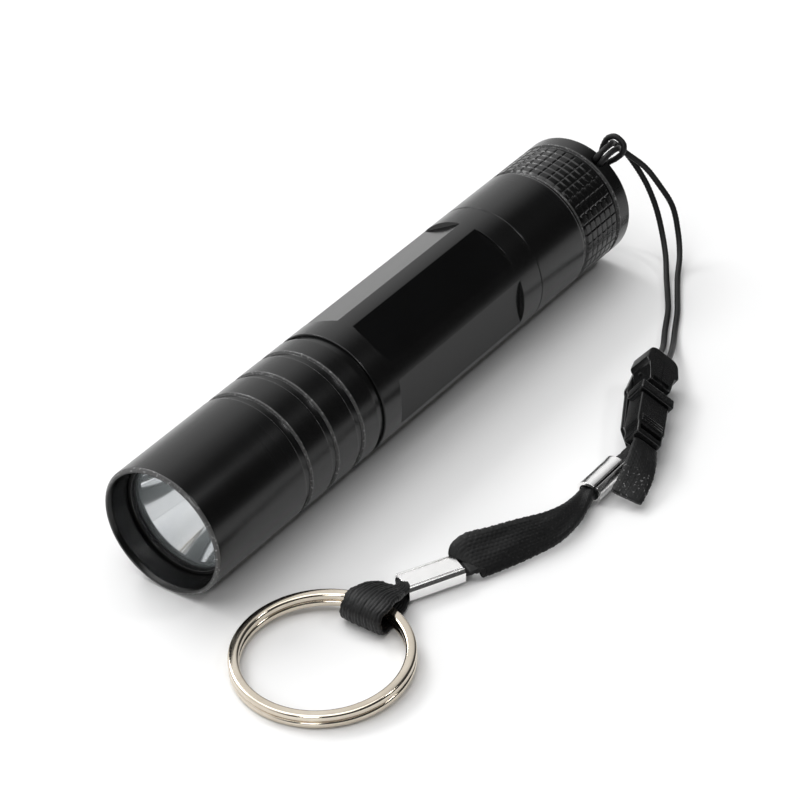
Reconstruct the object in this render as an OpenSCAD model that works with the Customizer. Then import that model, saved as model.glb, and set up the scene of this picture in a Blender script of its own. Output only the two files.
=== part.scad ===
// Keychain flashlight for one AA cell, lying on its side with its wrist
// lanyard, release clip and split ring laid out beside the head.
// X runs along the barrel from the bezel to the tail cap, Z is up, and the
// origin sits under the middle of the barrel on the resting surface.

/* [Body] */
// Overall length of the light from bezel rim to tail rim
body_len = 101; // [90:0.5:115]
// Outside diameter of head, barrel and tail cap
body_d = 20; // [18:0.1:24]
// Bore of the battery tube
tube_bore_d = 14.9; // [14.6:0.05:15.5]
// Depth of the turned grooves around the head
head_groove_depth = 0.35; // [0.1:0.05:0.6]
// Width of one turned groove
head_groove_w = 1.4; // [0.8:0.1:2]
// Station of the first groove behind the rim
head_groove_start = 19.2; // [16:0.1:22]
// Spacing between the grooves
head_groove_pitch = 5.95; // [4:0.05:8]
// Number of full grooves on the head
head_groove_count = 3; // [1:1:4]
// Clearance between mating thread crests and the plain female bore
thread_clearance = 0.05; // [0.03:0.01:0.15]
// Pitch of both body threads
thread_pitch = 1; // [0.75:0.25:1.5]

/* [Flats] */
// Number of milled flats around the barrel
flat_count = 6; // [4:1:8]
// Angle of barrel surface taken by one flat
flat_arc = 45; // [30:1:55]
// Station where the flats begin
flat_start = 42; // [40:0.5:48]
// Station where the flats end in a square wall
flat_end = 72; // [60:0.5:75]

/* [Bezel] */
// Radius of the bezel recess
recess_r = 9.02; // [8.5:0.01:9.3]
// Depth from the rim to the lens retaining ring
recess_depth = 3.8; // [2:0.1:6]
// Mouth radius of the reflector
reflector_mouth_r = 8.1; // [7.5:0.1:8.4]
// Radius of the reflector hole around the emitter
reflector_base_r = 2.6; // [2.5:0.1:3.5]
// Depth of the reflector bowl
reflector_depth = 12.3; // [9:0.1:13]

/* [Tail cap] */
// Station of the joint between barrel and tail cap
joint_station = 76.7; // [70:0.1:80]
// Station where the knurled band begins
knurl_start = 89.2; // [86:0.1:92]
// Station where the knurled band ends
knurl_end = 97.1; // [94:0.1:98]
// Number of lengthwise knurl grooves
knurl_count = 40; // [24:2:60]
// Diameter of the lanyard hole
lanyard_hole_d = 2.2; // [1.6:0.1:2.6]
// Direction of the lanyard hole above the horizontal on the near side
lanyard_hole_angle = 60; // [40:1:80]
// Radius of the rubber button
button_r = 5.6; // [4.5:0.1:6]
// Travel of the tail button
button_travel = 1.5; // [1:0.1:2]

/* [Lanyard] */
// Diameter of the thin cord
cord_d = 0.9; // [0.8:0.1:1.4]
// Width of the release clip
clip_w = 6.4; // [5:0.1:8]
// Heading of the clip on the table
clip_heading = 207; // [190:1:220]
// Lean of the clip onto its edge
clip_lean = 40; // [0:1:60]
// Outside diameter of the split ring
ring_d = 25; // [20:0.5:32]
// Radial width of the split ring wire
ring_wire_w = 1.5; // [1.2:0.1:2]
// Height of one turn of the split ring
ring_turn_h = 1.05; // [0.8:0.05:1.4]

/* [Hidden] */

$fn = 96;
eps = 0.01;
body_r = body_d / 2;
tube_bore_r = tube_bore_d / 2;
edge = 0.3;
head_end = 37.4;
spigot_start = 31.4;
thread_r = 8.8;
thread_root_r = 8.35;
female_r = thread_r + thread_clearance;
tail_female_r = female_r + 0.05;
oring_seat_r = 8;
lens_seal_t = 0.3;
lens_t = 0.8;
retainer_t = 0.7;
lens_front = recess_depth + retainer_t + lens_seal_t;
reflector_front = lens_front + lens_t;
reflector_rear = reflector_front + reflector_depth;
reflector_r = 8.7;
reflector_bore_r = 8.75;
pill_bore_r = 8.5;
pill_r = 8.45;
star_front = reflector_rear + 0.7;
star_t = 1.5;
pill_front = star_front + star_t;
pill_rear = 30.2;
driver_rear = 30;
cell_front = 33.8;
cell_rear = 83.2;
cell_r = 6.95;
button_top = 32.8;
tube_rear = 84.2;
switch_bore_r = 8.3;
switch_bore_start = 85.4;
end_wall_front = 95.6;
end_wall_rear = 97.3;
button_hole_r = button_r + 0.2;
recess_tail_r = 7.7;
lanyard_hole_station = 99.3;
spring_wire_r = 0.32;

// Split ring and strap layout on the table
ring_lift = 0.96;
ring_h = 2 * ring_turn_h + 0.08;
ring_tilt = asin(ring_lift / (ring_d - 2));
ring_at = [-51, -27.2, ring_h / 2 * cos(ring_tilt) + ring_d / 2 * sin(ring_tilt)];
ring_jog = 16;
// Turn of the wire that hides its ends inside the strap loop
ring_start = 7;
clip_t = 4.8;
clip_at = [26.6, -29.6, (clip_w * sin(clip_lean) + clip_t * cos(clip_lean)) / 2 + 0.05];
crimp_upper_at = [1.3, -37.05, 1.75];
crimp_lower_at = [-29.8, -29.5, 1.55];
crimp_half = 4.3;
crimp_lower_heading = 153;

// Cord through the lanyard hole and over the rim, from the strands to the
// bight that grips them: [along the axis, out from the axis, sideways]
hitch_route = [[53.9, 10.1, 0.64], [52.5, 11.0, 0.56], [50.9, 11.3, 0.52], [49.7, 11.0, 0.52],
    [48.95, 10.1, 0.52], [48.9, 8.7, 0.52], [49.2, 7.4, 0.54], [50.1, 6.7, 0.6],
    [51.3, 7.1, 0.7], [52.0, 8.3, 0.9], [52.4, 9.6, 1.4], [52.8, 11.0, 1.6],
    [53.2, 11.9, 1.0], [53.3, 12.1, 0]];
// The two strands from the clip up to the tail rim
strand_a = [[26.9, -29.9, 4.3], [30.0, -28.3, 3.0], [34.0, -26.4, 1.2], [38.5, -23.9, 0.6],
    [43.0, -21.6, 0.6], [47.0, -19.0, 0.6], [50.5, -16.6, 0.8], [53.4, -14.6, 2.2],
    [55.6, -12.5, 4.6], [56.8, -10.6, 7.8], [57.0, -8.8, 11.2], [56.4, -7.1, 14.4],
    [55.4, -5.5, 17.2]];
strand_b = [[27.4, -31.1, 3.9], [31.3, -29.4, 2.6], [35.4, -27.3, 1.2], [39.4, -25.1, 0.6],
    [43.6, -22.9, 0.6], [47.6, -20.4, 0.6], [51.5, -18.0, 0.8], [54.9, -16.2, 2.1],
    [57.2, -14.4, 4.6], [58.3, -12.6, 8.1], [57.9, -10.3, 11.5], [56.8, -8.5, 14.5],
    [55.1, -6.8, 16.9]];

// Strap routes, [x, y, z, width, thickness, lean]
mid_route = [[7.4, -38.4, 3.7, 2.2, 1, 40], [6.4, -37.7, 2.6, 2.4, 1.4, 15],
    [5.2, -37.1, 1.85, 2.4, 1.6, 0], [1.2, -37.05, 1.75, 2.4, 1.7, 0],
    [-2.8, -37.1, 1.75, 2.4, 1.7, 0], [-5.6, -37.6, 2.0, 2.9, 1.6, 25],
    [-9, -38.1, 2.4, 3.8, 1.3, 42], [-13, -37.6, 2.6, 4.9, 1.1, 48],
    [-17.2, -35.9, 2.8, 5.8, 1, 46], [-20.8, -34.1, 2.8, 6.3, 1, 42],
    [-24.1, -32.2, 2.7, 6.6, 1, 37], [-25, -31.9, 1.9, 4.6, 1.3, 16],
    [-25.7, -31.55, 1.58, 3.5, 1.5, 0], [-29.8, -29.5, 1.55, 3.4, 1.5, 0]];
end_route = [[8.4, -39.5, 4.2, 4.2, 1, 40], [6.5, -40.4, 4.0, 4.6, 1, 38],
    [4.3, -41.2, 3.4, 4.8, 1, 34], [2.0, -41.7, 2.6, 4.8, 1, 26],
    [-0.4, -42.0, 1.8, 4.8, 1, 16]];
// Loop around the ring wire, [along the strap, height]
loop_route = [[0, 1.12], [-2.6, 0.62], [-4.6, 0.44], [-6.6, 0.43], [-7.9, 0.55], [-8.6, 1.1],
    [-8.75, 2.1], [-8.4, 3.3], [-7, 3.95], [-5, 3.85], [-2.4, 2.8], [0, 2.0]];

function unit(v) = v / norm(v);
function tangent(p, i) = unit(p[min(i + 1, len(p) - 1)] - p[max(i - 1, 0)]);
function square_to(n, t) = unit(n - (n * t) * t);
// Turns a normal along the path without letting it spin
function carried(p, n0) = [for (i = 0, n = square_to(n0, tangent(p, 0)); i < len(p);
    i = i + 1, n = i < len(p) ? square_to(n, tangent(p, i)) : n) n];
// Side and end faces of a sweep of k-sided rings
function sweep_faces(rows, k) = concat(
    [[for (j = [0 : k - 1]) j]],
    [for (i = [0 : rows - 2]) for (j = [0 : k - 1]) each [
        [i * k + j, i * k + k + j, i * k + k + (j + 1) % k],
        [i * k + j, i * k + k + (j + 1) % k, i * k + (j + 1) % k]]],
    [[for (j = [k - 1 : -1 : 0]) (rows - 1) * k + j]]);
function xyz(row) = [row[0], row[1], row[2]];

// Places a part of revolution: Z becomes the station behind the bezel rim
module on_axis() {
    translate([-body_len / 2, 0, body_r]) rotate([0, 90, 0]) children();
}

// Turns a local X direction to an angle above the horizontal, near side
module aimed(theta) {
    rotate([0, 0, -90 - theta]) children();
}

module ring_solid(s0, s1, r_in, r_out) {
    on_axis() translate([0, 0, s0]) difference() {
        cylinder(r = r_out, h = s1 - s0);
        translate([0, 0, -1]) cylinder(r = r_in, h = s1 - s0 + 2);
    }
}

// Round tube of eight sides along a list of points
module cord_tube(p, r, n0) {
    n = carried(p, n0);
    k = 8;
    pts = [for (i = [0 : len(p) - 1]) let (t = tangent(p, i), b = cross(t, n[i]))
        for (j = [0 : k - 1]) p[i] + r * (cos(360 * j / k) * n[i] + sin(360 * j / k) * b)];
    polyhedron(pts, sweep_faces(len(p), k), convexity = 6);
}

// Flat strap with rounded corners along rows of position, size and lean
module strap(rows) {
    p = [for (q = rows) xyz(q)];
    shape = [[-0.5, -0.3], [-0.42, -0.5], [0.42, -0.5], [0.5, -0.3],
        [0.5, 0.3], [0.42, 0.5], [-0.42, 0.5], [-0.5, 0.3]];
    pts = [for (i = [0 : len(p) - 1]) let (
            t = tangent(p, i), side = unit(cross(t, [0, 0, 1])), up = cross(side, t),
            w = cos(rows[i][5]) * side + sin(rows[i][5]) * up, n = cross(w, t))
        for (c = shape) p[i] + rows[i][3] * c[0] * w + rows[i][4] * c[1] * n];
    polyhedron(pts, sweep_faces(len(p), len(shape)), convexity = 4);
}

// Coil spring about the barrel axis between two stations
module coil(s0, s1, r0, r1, turns) {
    steps = round(turns * 16);
    p = [for (i = [0 : steps]) let (f = i / steps)
        [(r0 + (r1 - r0) * f) * cos(360 * turns * f),
         (r0 + (r1 - r0) * f) * sin(360 * turns * f), s0 + (s1 - s0) * f]];
    on_axis() cord_tube(p, spring_wire_r, [1, 0, 0]);
}

// Crest and root points of a ring thread between two stations
function thread_profile(s0, s1) = [for (s = [s0 : thread_pitch : s1 - thread_pitch / 2])
    each [[thread_root_r, s], [thread_r, s + 0.3 * thread_pitch],
        [thread_r, s + 0.5 * thread_pitch], [thread_root_r, s + 0.8 * thread_pitch]]];
// Outline of a turned groove
function groove_profile(s, w, d) = [[body_r, s], [body_r - d, s + 0.15],
    [body_r - d, s + w - 0.15], [body_r, s + w]];

module head_shell() {
    color("#1b1b1d") on_axis() rotate_extrude() polygon(concat(
        [[recess_r, 0.6], [body_r - 0.65, 0], [body_r - edge, 0], [body_r, edge]],
        [for (i = [0 : head_groove_count - 1])
            each groove_profile(head_groove_start + i * head_groove_pitch,
                head_groove_w, head_groove_depth)],
        [[body_r, head_end - 1.4], [body_r - head_groove_depth, head_end - 1.25],
            [body_r - head_groove_depth, head_end], [female_r, head_end],
            [female_r, spigot_start - 0.2], [pill_bore_r, spigot_start - 0.2],
            [pill_bore_r, reflector_rear], [reflector_bore_r, reflector_rear],
            [reflector_bore_r, reflector_front], [recess_r, reflector_front]]));
}

module lens_retainer() {
    color("#26262a") ring_solid(recess_depth, recess_depth + retainer_t, 8.3, recess_r - 0.02);
}

module lens_seal() {
    color("#3a3a3d") ring_solid(recess_depth + retainer_t, lens_front, 8.4, recess_r - 0.05);
}

module lens() {
    color("#dfe9ec", 0.4) on_axis() translate([0, 0, lens_front]) rotate_extrude()
        polygon([[0, 0], [8.75, 0], [8.9, 0.15], [8.9, lens_t - 0.15], [8.75, lens_t],
            [0, lens_t]]);
}

// Parabola radius at a depth behind the mouth
function bowl_r(d) = sqrt(pow(reflector_mouth_r, 2)
    - (pow(reflector_mouth_r, 2) - pow(reflector_base_r, 2)) * d / reflector_depth);

module reflector() {
    color("#c9ccd0") on_axis() translate([0, 0, reflector_front]) rotate_extrude()
        polygon(concat(
            [for (i = [0 : 12]) [bowl_r(reflector_depth * i / 12), reflector_depth * i / 12]],
            [[4.6, reflector_depth]],
            [for (i = [10 : -2 : 2])
                [min(bowl_r(reflector_depth * i / 12) + 1, reflector_r - 0.1),
                    reflector_depth * i / 12]],
            [[reflector_r, 1], [reflector_r, 0]]));
}

module emitter_spacer() {
    color("#f2f2ee") ring_solid(reflector_rear, star_front, 2.6, 5.5);
}

module led_emitter() {
    package = 3.45;
    color("#e9e2b8") on_axis() {
        translate([-package / 2, -package / 2, star_front - 0.8]) cube([package, package, 0.8]);
        translate([0, 0, star_front - 0.9]) intersection() {
            sphere(r = 1.3, $fn = 48);
            translate([-2, -2, -2]) cube([4, 4, 2]);
        }
    }
}

module star_board() {
    color("#d8dad6") on_axis() translate([0, 0, star_front]) difference() {
        cylinder(r = 8, h = star_t);
        for (i = [0 : 5])
            rotate([0, 0, 60 * i]) translate([8, 0, -1]) cylinder(r = 1.3, h = star_t + 2, $fn = 32);
    }
}

module pill() {
    shelf_t = 2;
    color("#b89a55") on_axis() difference() {
        translate([0, 0, pill_front]) cylinder(r = pill_r, h = pill_rear - pill_front);
        translate([0, 0, pill_front + shelf_t]) cylinder(r = 7, h = pill_rear - pill_front);
        for (y = [-5, 5])
            translate([0, y, pill_front - 1]) cylinder(r = 0.8, h = shelf_t + 2, $fn = 24);
    }
}

module driver_board() {
    board_t = 1.2;
    color("#2f6b3c") on_axis() {
        translate([0, 0, driver_rear - board_t]) cylinder(r = 6.9, h = board_t);
        translate([0, 2.2, driver_rear - board_t - 2.4]) cylinder(r = 2.1, h = 2.4 + eps, $fn = 32);
        translate([-3, -4.6, driver_rear - board_t - 1.4]) cube([5, 3.4, 1.4 + eps]);
    }
}

module driver_spring() {
    color("#c8b27a") coil(driver_rear + spring_wire_r, button_top - spring_wire_r - 0.02,
        3.2, 1.9, 2.5);
}

module seal_ring(s) {
    minor = (female_r - 0.02 - oring_seat_r) / 2;
    color("#5b2320") on_axis() translate([0, 0, s]) rotate_extrude()
        translate([oring_seat_r + minor, 0]) circle(r = minor, $fn = 32);
}

module head_oring() {
    seal_ring(36.5);
}

module tail_oring() {
    seal_ring(77.9);
}

// One milled flat: square wall at the rear, ramp at the front
module flat_cutter() {
    face_r = body_r * cos(flat_arc / 2);
    rotate([90, 0, 0]) translate([0, 0, -body_r]) linear_extrude(height = body_d)
        polygon([[face_r, flat_start], [face_r + 3, flat_start - 3], [face_r + 3, flat_end],
            [face_r, flat_end]]);
}

module barrel() {
    color("#1b1b1d") on_axis() difference() {
        rotate_extrude() polygon(concat(
            [[tube_bore_r, spigot_start], [thread_root_r, spigot_start]],
            thread_profile(32, 35.6),
            [[thread_root_r, 35.8], [oring_seat_r, 35.8], [oring_seat_r, 37.2],
                [thread_root_r, 37.2], [thread_root_r, head_end], [body_r - 0.2, head_end],
                [body_r, head_end + 0.2], [body_r, joint_station - 0.2],
                [body_r - 0.2, joint_station], [thread_root_r, joint_station],
                [thread_root_r, 77.2], [oring_seat_r, 77.2], [oring_seat_r, 78.6],
                [thread_root_r, 78.6]],
            thread_profile(78.9, 83.4),
            [[thread_root_r, 83.6], [thread_root_r - 0.3, tube_rear], [tube_bore_r, tube_rear]]));
        for (i = [0 : flat_count - 1])
            aimed(360 / flat_count * i) flat_cutter();
    }
}

module cell_can() {
    color("#b9bcc0") on_axis() rotate_extrude()
        polygon([[0, cell_front], [cell_r - 0.4, cell_front], [cell_r, cell_front + 0.4],
            [cell_r, cell_rear - 0.4], [cell_r - 0.4, cell_rear], [0, cell_rear]]);
}

module cell_wrapper() {
    color("#2d5f8a") ring_solid(cell_front + 0.6, cell_rear - 0.6, cell_r + 0.01, cell_r + 0.15);
}

module cell_button() {
    color("#c9ccd0") on_axis() translate([0, 0, button_top])
        cylinder(r1 = 2.4, r2 = 2.6, h = cell_front - button_top);
}

module tail_cap() {
    knurl_root = body_r - 0.3;
    color("#1b1b1d") on_axis() difference() {
        rotate_extrude() polygon(concat(
            [[tail_female_r, joint_station], [body_r - 0.2, joint_station],
                [body_r, joint_station + 0.2]],
            groove_profile(knurl_start - 1.1, 0.8, 0.35),
            [[body_r, knurl_start - 0.1]],
            [for (s = [knurl_start : 1.32 : knurl_end - 0.6])
                each [[body_r - 0.05, s], [knurl_root, s + 0.2], [body_r - 0.05, s + 0.4]]],
            [[body_r, knurl_end - 0.1]],
            groove_profile(knurl_end, 0.8, 0.35),
            [[body_r, body_len - 0.5], [body_r - 0.5, body_len], [recess_tail_r + 0.4, body_len],
                [recess_tail_r, body_len - 0.4], [recess_tail_r, end_wall_rear],
                [button_hole_r, end_wall_rear], [button_hole_r, end_wall_front],
                [switch_bore_r, end_wall_front], [switch_bore_r, switch_bore_start],
                [tail_female_r, switch_bore_start]]));
        for (i = [0 : knurl_count - 1])
            rotate([0, 0, 360 / knurl_count * i])
                translate([body_r + 0.1, 0, knurl_start - 0.05]) rotate([0, 0, 45])
                    translate([-0.25, -0.25, 0]) cube([0.5, 0.5, knurl_end - knurl_start]);
        translate([0, 0, lanyard_hole_station]) aimed(lanyard_hole_angle)
            rotate([0, 90, 0]) cylinder(d = lanyard_hole_d, h = body_d, $fn = 32);
    }
}

module switch_ring() {
    color("#8a8c90") difference() {
        ring_solid(85.6, 86.8, 5.2, switch_bore_r - 0.05);
        for (y = [-6.8, 6.8])
            on_axis() translate([0, y, 85]) cylinder(r = 0.6, h = 3, $fn = 24);
    }
}

module tail_spring() {
    color("#c8b27a") coil(cell_rear + spring_wire_r + 0.02, 86.8 - spring_wire_r, 2.6, 4.4, 3.5);
}

module switch_board() {
    color("#2f6b3c") ring_solid(86.8, 88.2, 0.8, switch_bore_r - 0.1);
}

module switch_housing() {
    color("#2a2a2c") on_axis() difference() {
        translate([0, 0, 88.2]) cylinder(r = switch_bore_r - 0.1, h = 5.8);
        translate([0, 0, 90.5]) cylinder(r = 2.6, h = 5);
    }
}

module boot_washer() {
    color("#8a8c90") ring_solid(94, 94.6, 3.2, switch_bore_r - 0.1);
}

module boot_flange() {
    color("#202022") ring_solid(94.6, end_wall_front, button_r + 0.15, switch_bore_r - 0.1);
}

module boot_dome() {
    dome_base = 96.3;
    color("#202022") on_axis() rotate_extrude() polygon([
        [0, 98.2], [2, 98.2], [2, 99.4], [4.2, 99.2], [button_r - 1, 98.6],
        [button_r - 1, dome_base], [button_r, dome_base], [button_r, 98.8],
        [button_r - 0.35, 99.4], [button_r - 1.2, 99.9], [button_r - 2.6, 100.25], [0, 100.4]]);
}

module switch_plunger() {
    color("#e8e8e4") on_axis() translate([0, 0, 92.5]) cylinder(r = 2, h = 98.2 - 92.5);
}

// Point beside the lanyard hole from its axial, outward and sideways place
function at_hole(q, side) = let (c = side * q[2], a = lanyard_hole_angle)
    [q[0], c * sin(a) - q[1] * cos(a), body_r + q[1] * sin(a) + c * cos(a)];
function reversed(p) = [for (i = [len(p) - 1 : -1 : 0]) p[i]];

module lanyard_cord() {
    near = [for (q = hitch_route) at_hole(q, 1)];
    far = [for (i = [len(hitch_route) - 2 : -1 : 0]) at_hole(hitch_route[i], -1)];
    color("#1a1a1c")
        cord_tube(concat(strand_a, near, far, reversed(strand_b)), cord_d / 2, [0, 0, 1]);
}

// Clip frame: X from the cord end to the strap end, Z out of the face
module on_clip() {
    translate(clip_at) rotate([0, 0, clip_heading]) rotate([-clip_lean, 0, 0]) children();
}

module clip_male() {
    hood_len = 8.4;
    plate_len = 20.3;
    back = -clip_t / 2;
    color("#1f1f21") on_clip() {
        translate([0, 0, back + 1.1]) linear_extrude(height = clip_t - 1.1) hull() {
            translate([1.6, -1.2]) circle(r = 1.6, $fn = 32);
            translate([1.6, 1.2]) circle(r = 1.6, $fn = 32);
            translate([3.6, -clip_w / 2 + 1]) circle(r = 1, $fn = 32);
            translate([3.6, clip_w / 2 - 1]) circle(r = 1, $fn = 32);
            translate([hood_len - 0.5, -2.1]) square([0.5, 4.2]);
        }
        translate([hood_len - 1, -1.5, -0.5]) cube([6, 3, 1.3]);
        translate([0.6, -1.6, back + 0.9]) cube([4.4, 3.2, 0.3]);
        translate([0, 0, back]) linear_extrude(height = 0.9) hull() {
            translate([2, 0]) circle(r = 2, $fn = 32);
            translate([8, 0]) circle(r = 3, $fn = 32);
            translate([16, 0]) circle(r = 2.6, $fn = 32);
            translate([plate_len - 1, 0]) circle(r = 1, $fn = 32);
        }
    }
}

module clip_female() {
    start = 9;
    rear = 20.4;
    color("#222224") on_clip() difference() {
        union() {
            translate([start, -2.6, -1.3]) cube([rear - start, 5.2, 3.1]);
            translate([start, -clip_w / 2 + 0.2, -1.3]) cube([1.9, clip_w - 0.4, 3.6]);
        }
        translate([start - 1, -1.65, -0.65]) cube([8.4, 3.3, 1.6]);
        translate([start + 1.9, -4, 1.45]) cube([0.5, 8, 2]);
        translate([rear - 2, -2.1, -3]) cube([1, 4.2, 6]);
    }
}

module webbing_end() {
    color("#19191c") strap(end_route);
}

module crimp(at, heading, length, w, h, wall) {
    color("#c9cacc") translate(at) rotate([0, 0, heading]) rotate([90, 0, 90])
        translate([0, 0, -length / 2]) linear_extrude(height = length) difference() {
            hull() for (x = [-1, 1])
                translate([x * (w - h) / 2, 0]) circle(d = h, $fn = 32);
            square([w - 2 * wall - 0.2, h - 2 * wall], center = true);
        }
}

module crimp_upper() {
    crimp(crimp_upper_at, 180, 7.6, 4, 3.2, 0.6);
}

module webbing_mid() {
    color("#19191c") strap(mid_route);
}

module crimp_lower() {
    color("#c9cacc") translate(crimp_lower_at) rotate([0, 0, crimp_lower_heading])
        difference() {
            translate([-crimp_half, -2.2, -1.2]) cube([2 * crimp_half, 4.4, 2.4]);
            translate([-5, -1.85, -0.85]) cube([10, 3.7, 1.7]);
        }
}

module webbing_loop() {
    last = len(loop_route) - 1;
    reach = crimp_half + 0.02;
    start = [crimp_lower_at[0] + reach * cos(crimp_lower_heading),
        crimp_lower_at[1] + reach * sin(crimp_lower_heading)];
    path = [for (q = loop_route) [start[0] + q[0], start[1] - 0.04 * q[0], q[1]]];
    half = 3.4;
    narrow = 1.75;
    thick = 0.4;
    pts = [for (i = [0 : last]) let (
            at_crimp = i == 0 || i == last,
            side = at_crimp ? [sin(crimp_lower_heading), -cos(crimp_lower_heading), 0]
                : [0, 1, 0],
            t = tangent(path, i), n = at_crimp ? [0, 0, i == 0 ? -1 : 1]
                : unit(cross([0, 1, 0], t)),
            w = min(half, narrow - 0.28 * loop_route[i][0]))
        each [path[i] - w * side - thick * n, path[i] + w * side - thick * n,
            path[i] + w * side + thick * n, path[i] - w * side + thick * n]];
    color("#19191c") polyhedron(pts, sweep_faces(last + 1, 4), convexity = 4);
}

// Height of the split ring wire after a turn of the angle: flat, a short
// jog up to the second turn, then flat again
function ring_rise(a) = (ring_turn_h + 0.08)
    * min(1, max(0, (a - 360 + ring_jog) / ring_jog));

module split_ring() {
    steps = 176;
    outer = ring_d / 2;
    inner = outer - ring_wire_w;
    pts = [for (i = [0 : steps]) let (a = i * (720 - ring_jog) / steps,
            z = ring_rise(a) - ring_h / 2)
        for (c = [[inner, 0], [outer, 0], [outer, ring_turn_h], [inner, ring_turn_h]])
            [c[0] * cos(a), c[0] * sin(a), z + c[1]]];
    color("#b8ab98") translate(ring_at) rotate([0, -ring_tilt, 0]) rotate([0, 0, ring_start])
        polyhedron(pts, sweep_faces(steps + 1, 4), convexity = 6);
}

head_shell();
lens_retainer();
lens_seal();
lens();
reflector();
emitter_spacer();
led_emitter();
star_board();
pill();
driver_board();
driver_spring();
head_oring();
barrel();
tail_oring();
cell_can();
cell_wrapper();
cell_button();
tail_cap();
switch_ring();
tail_spring();
switch_board();
switch_housing();
boot_washer();
boot_flange();
boot_dome();
switch_plunger();
lanyard_cord();
clip_male();
clip_female();
webbing_end();
crimp_upper();
webbing_mid();
crimp_lower();
webbing_loop();
split_ring();
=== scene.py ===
# %% [markdown]
# # A keychain flashlight
# The object is a black aluminium light for one AA cell. A thin cord is hitched through a hole in
# its tail cap. A release clip, a folded strap, two metal crimps and a split ring follow it.
# The working model already holds every size and joint. This lesson gives each piece its look.

# %% Load the working model
from math import asin, cos, degrees, floor, pi, radians, sin, sqrt

import bmesh
import bpy
import numpy as np
from mathutils import Matrix, Vector


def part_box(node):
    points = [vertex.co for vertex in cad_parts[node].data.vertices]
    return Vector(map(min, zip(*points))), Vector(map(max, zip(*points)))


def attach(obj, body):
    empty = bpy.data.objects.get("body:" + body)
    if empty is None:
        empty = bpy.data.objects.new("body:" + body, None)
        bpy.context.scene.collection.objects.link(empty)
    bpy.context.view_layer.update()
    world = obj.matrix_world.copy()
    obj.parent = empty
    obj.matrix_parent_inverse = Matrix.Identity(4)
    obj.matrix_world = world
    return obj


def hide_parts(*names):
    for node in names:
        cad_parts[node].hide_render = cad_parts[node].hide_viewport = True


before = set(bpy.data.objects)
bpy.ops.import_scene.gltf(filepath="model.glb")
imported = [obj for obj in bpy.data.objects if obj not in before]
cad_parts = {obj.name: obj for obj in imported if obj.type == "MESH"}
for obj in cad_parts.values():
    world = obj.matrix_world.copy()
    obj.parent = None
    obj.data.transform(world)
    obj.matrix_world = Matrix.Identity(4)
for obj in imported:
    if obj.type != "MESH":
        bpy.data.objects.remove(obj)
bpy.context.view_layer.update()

MM = 0.001
rim_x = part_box("head_shell")[0].x
axis_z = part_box("tail_cap")[1].z / 2
body_r = axis_z / MM

# %% [markdown]
# ## The camera
# The light is seen from in front of its bezel and above, through a long lens, so its far end
# hardly narrows. A camera could be aimed with a constraint, but three measured directions give
# the same roll every time.

# %% Camera
camera_data = bpy.data.cameras.new("camera")
camera_data.sensor_width = 36
camera_data.lens = 141.43
camera_data.clip_start = 0.01
camera = bpy.data.objects.new("camera", camera_data)
look = Vector((0.64077, 0.49043, -0.59067)).normalized()
right = look.cross(Vector((0.49243, 0.32771, 0.8063))).normalized()
turned = Matrix((right, right.cross(look), -look)).transposed().to_4x4()
camera.matrix_world = Matrix.Translation(Vector((-293.25, -227.11, 272.72)) * MM) @ turned
bpy.context.collection.objects.link(camera)
bpy.context.scene.camera = camera
print("camera looks down by", round(degrees(asin(-look.z)), 1), "degrees")

# %% [markdown]
# ## Node trees that read as sums
# A finish or a repeating piece is a node tree. Wiring each node by hand hides the idea, so one
# small class holds a socket and turns +, -, * and / into Math nodes, and one method adds any
# other node.

# %% A socket that does sums
class Wire:
    """One output socket; arithmetic on it adds Math nodes."""

    def __init__(self, patch, socket):
        self.patch, self.socket = patch, socket

    def maths(self, operation, *values):
        return self.patch.node("ShaderNodeMath", {"operation": operation}, dict(enumerate(values)))

    def __add__(self, other):
        return self.maths("ADD", self, other)

    def __sub__(self, other):
        return self.maths("SUBTRACT", self, other)

    def __rsub__(self, other):
        return self.maths("SUBTRACT", other, self)

    def __mul__(self, other):
        return self.maths("MULTIPLY", self, other)

    def __truediv__(self, other):
        return self.maths("DIVIDE", self, other)

    __radd__ = __add__
    __rmul__ = __mul__


class Patch:
    """A node tree that grows by one call per node."""

    def __init__(self, tree):
        self.tree = tree

    def node(self, kind, settings=None, values=None, output=0):
        made = self.tree.nodes.new(kind)
        for key, value in (settings or {}).items():
            if key == "stops":
                for element, (place, level) in zip(made.color_ramp.elements, value):
                    element.position, element.color = place, (level, level, level, 1)
            else:
                setattr(made, key, value)
        for key, value in (values or {}).items():
            if isinstance(value, Wire):
                self.tree.links.new(value.socket, made.inputs[key])
            else:
                made.inputs[key].default_value = value
        return Wire(self, made.outputs[output])

    def ramp(self, value, low, high):
        return self.node("ShaderNodeMapRange", {"clamp": True},
                         {"Value": value, "From Min": low, "From Max": high})

    def blend(self, share, first, second):
        return self.node("ShaderNodeMix", {"data_type": "RGBA"}, {0: share, 6: first, 7: second}, 2)


# %% [markdown]
# A finish is one Principled shader. What never changes over the surface is set straight on it,
# and what changes is wired in by name, so each recipe below reads as a short list.

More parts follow.
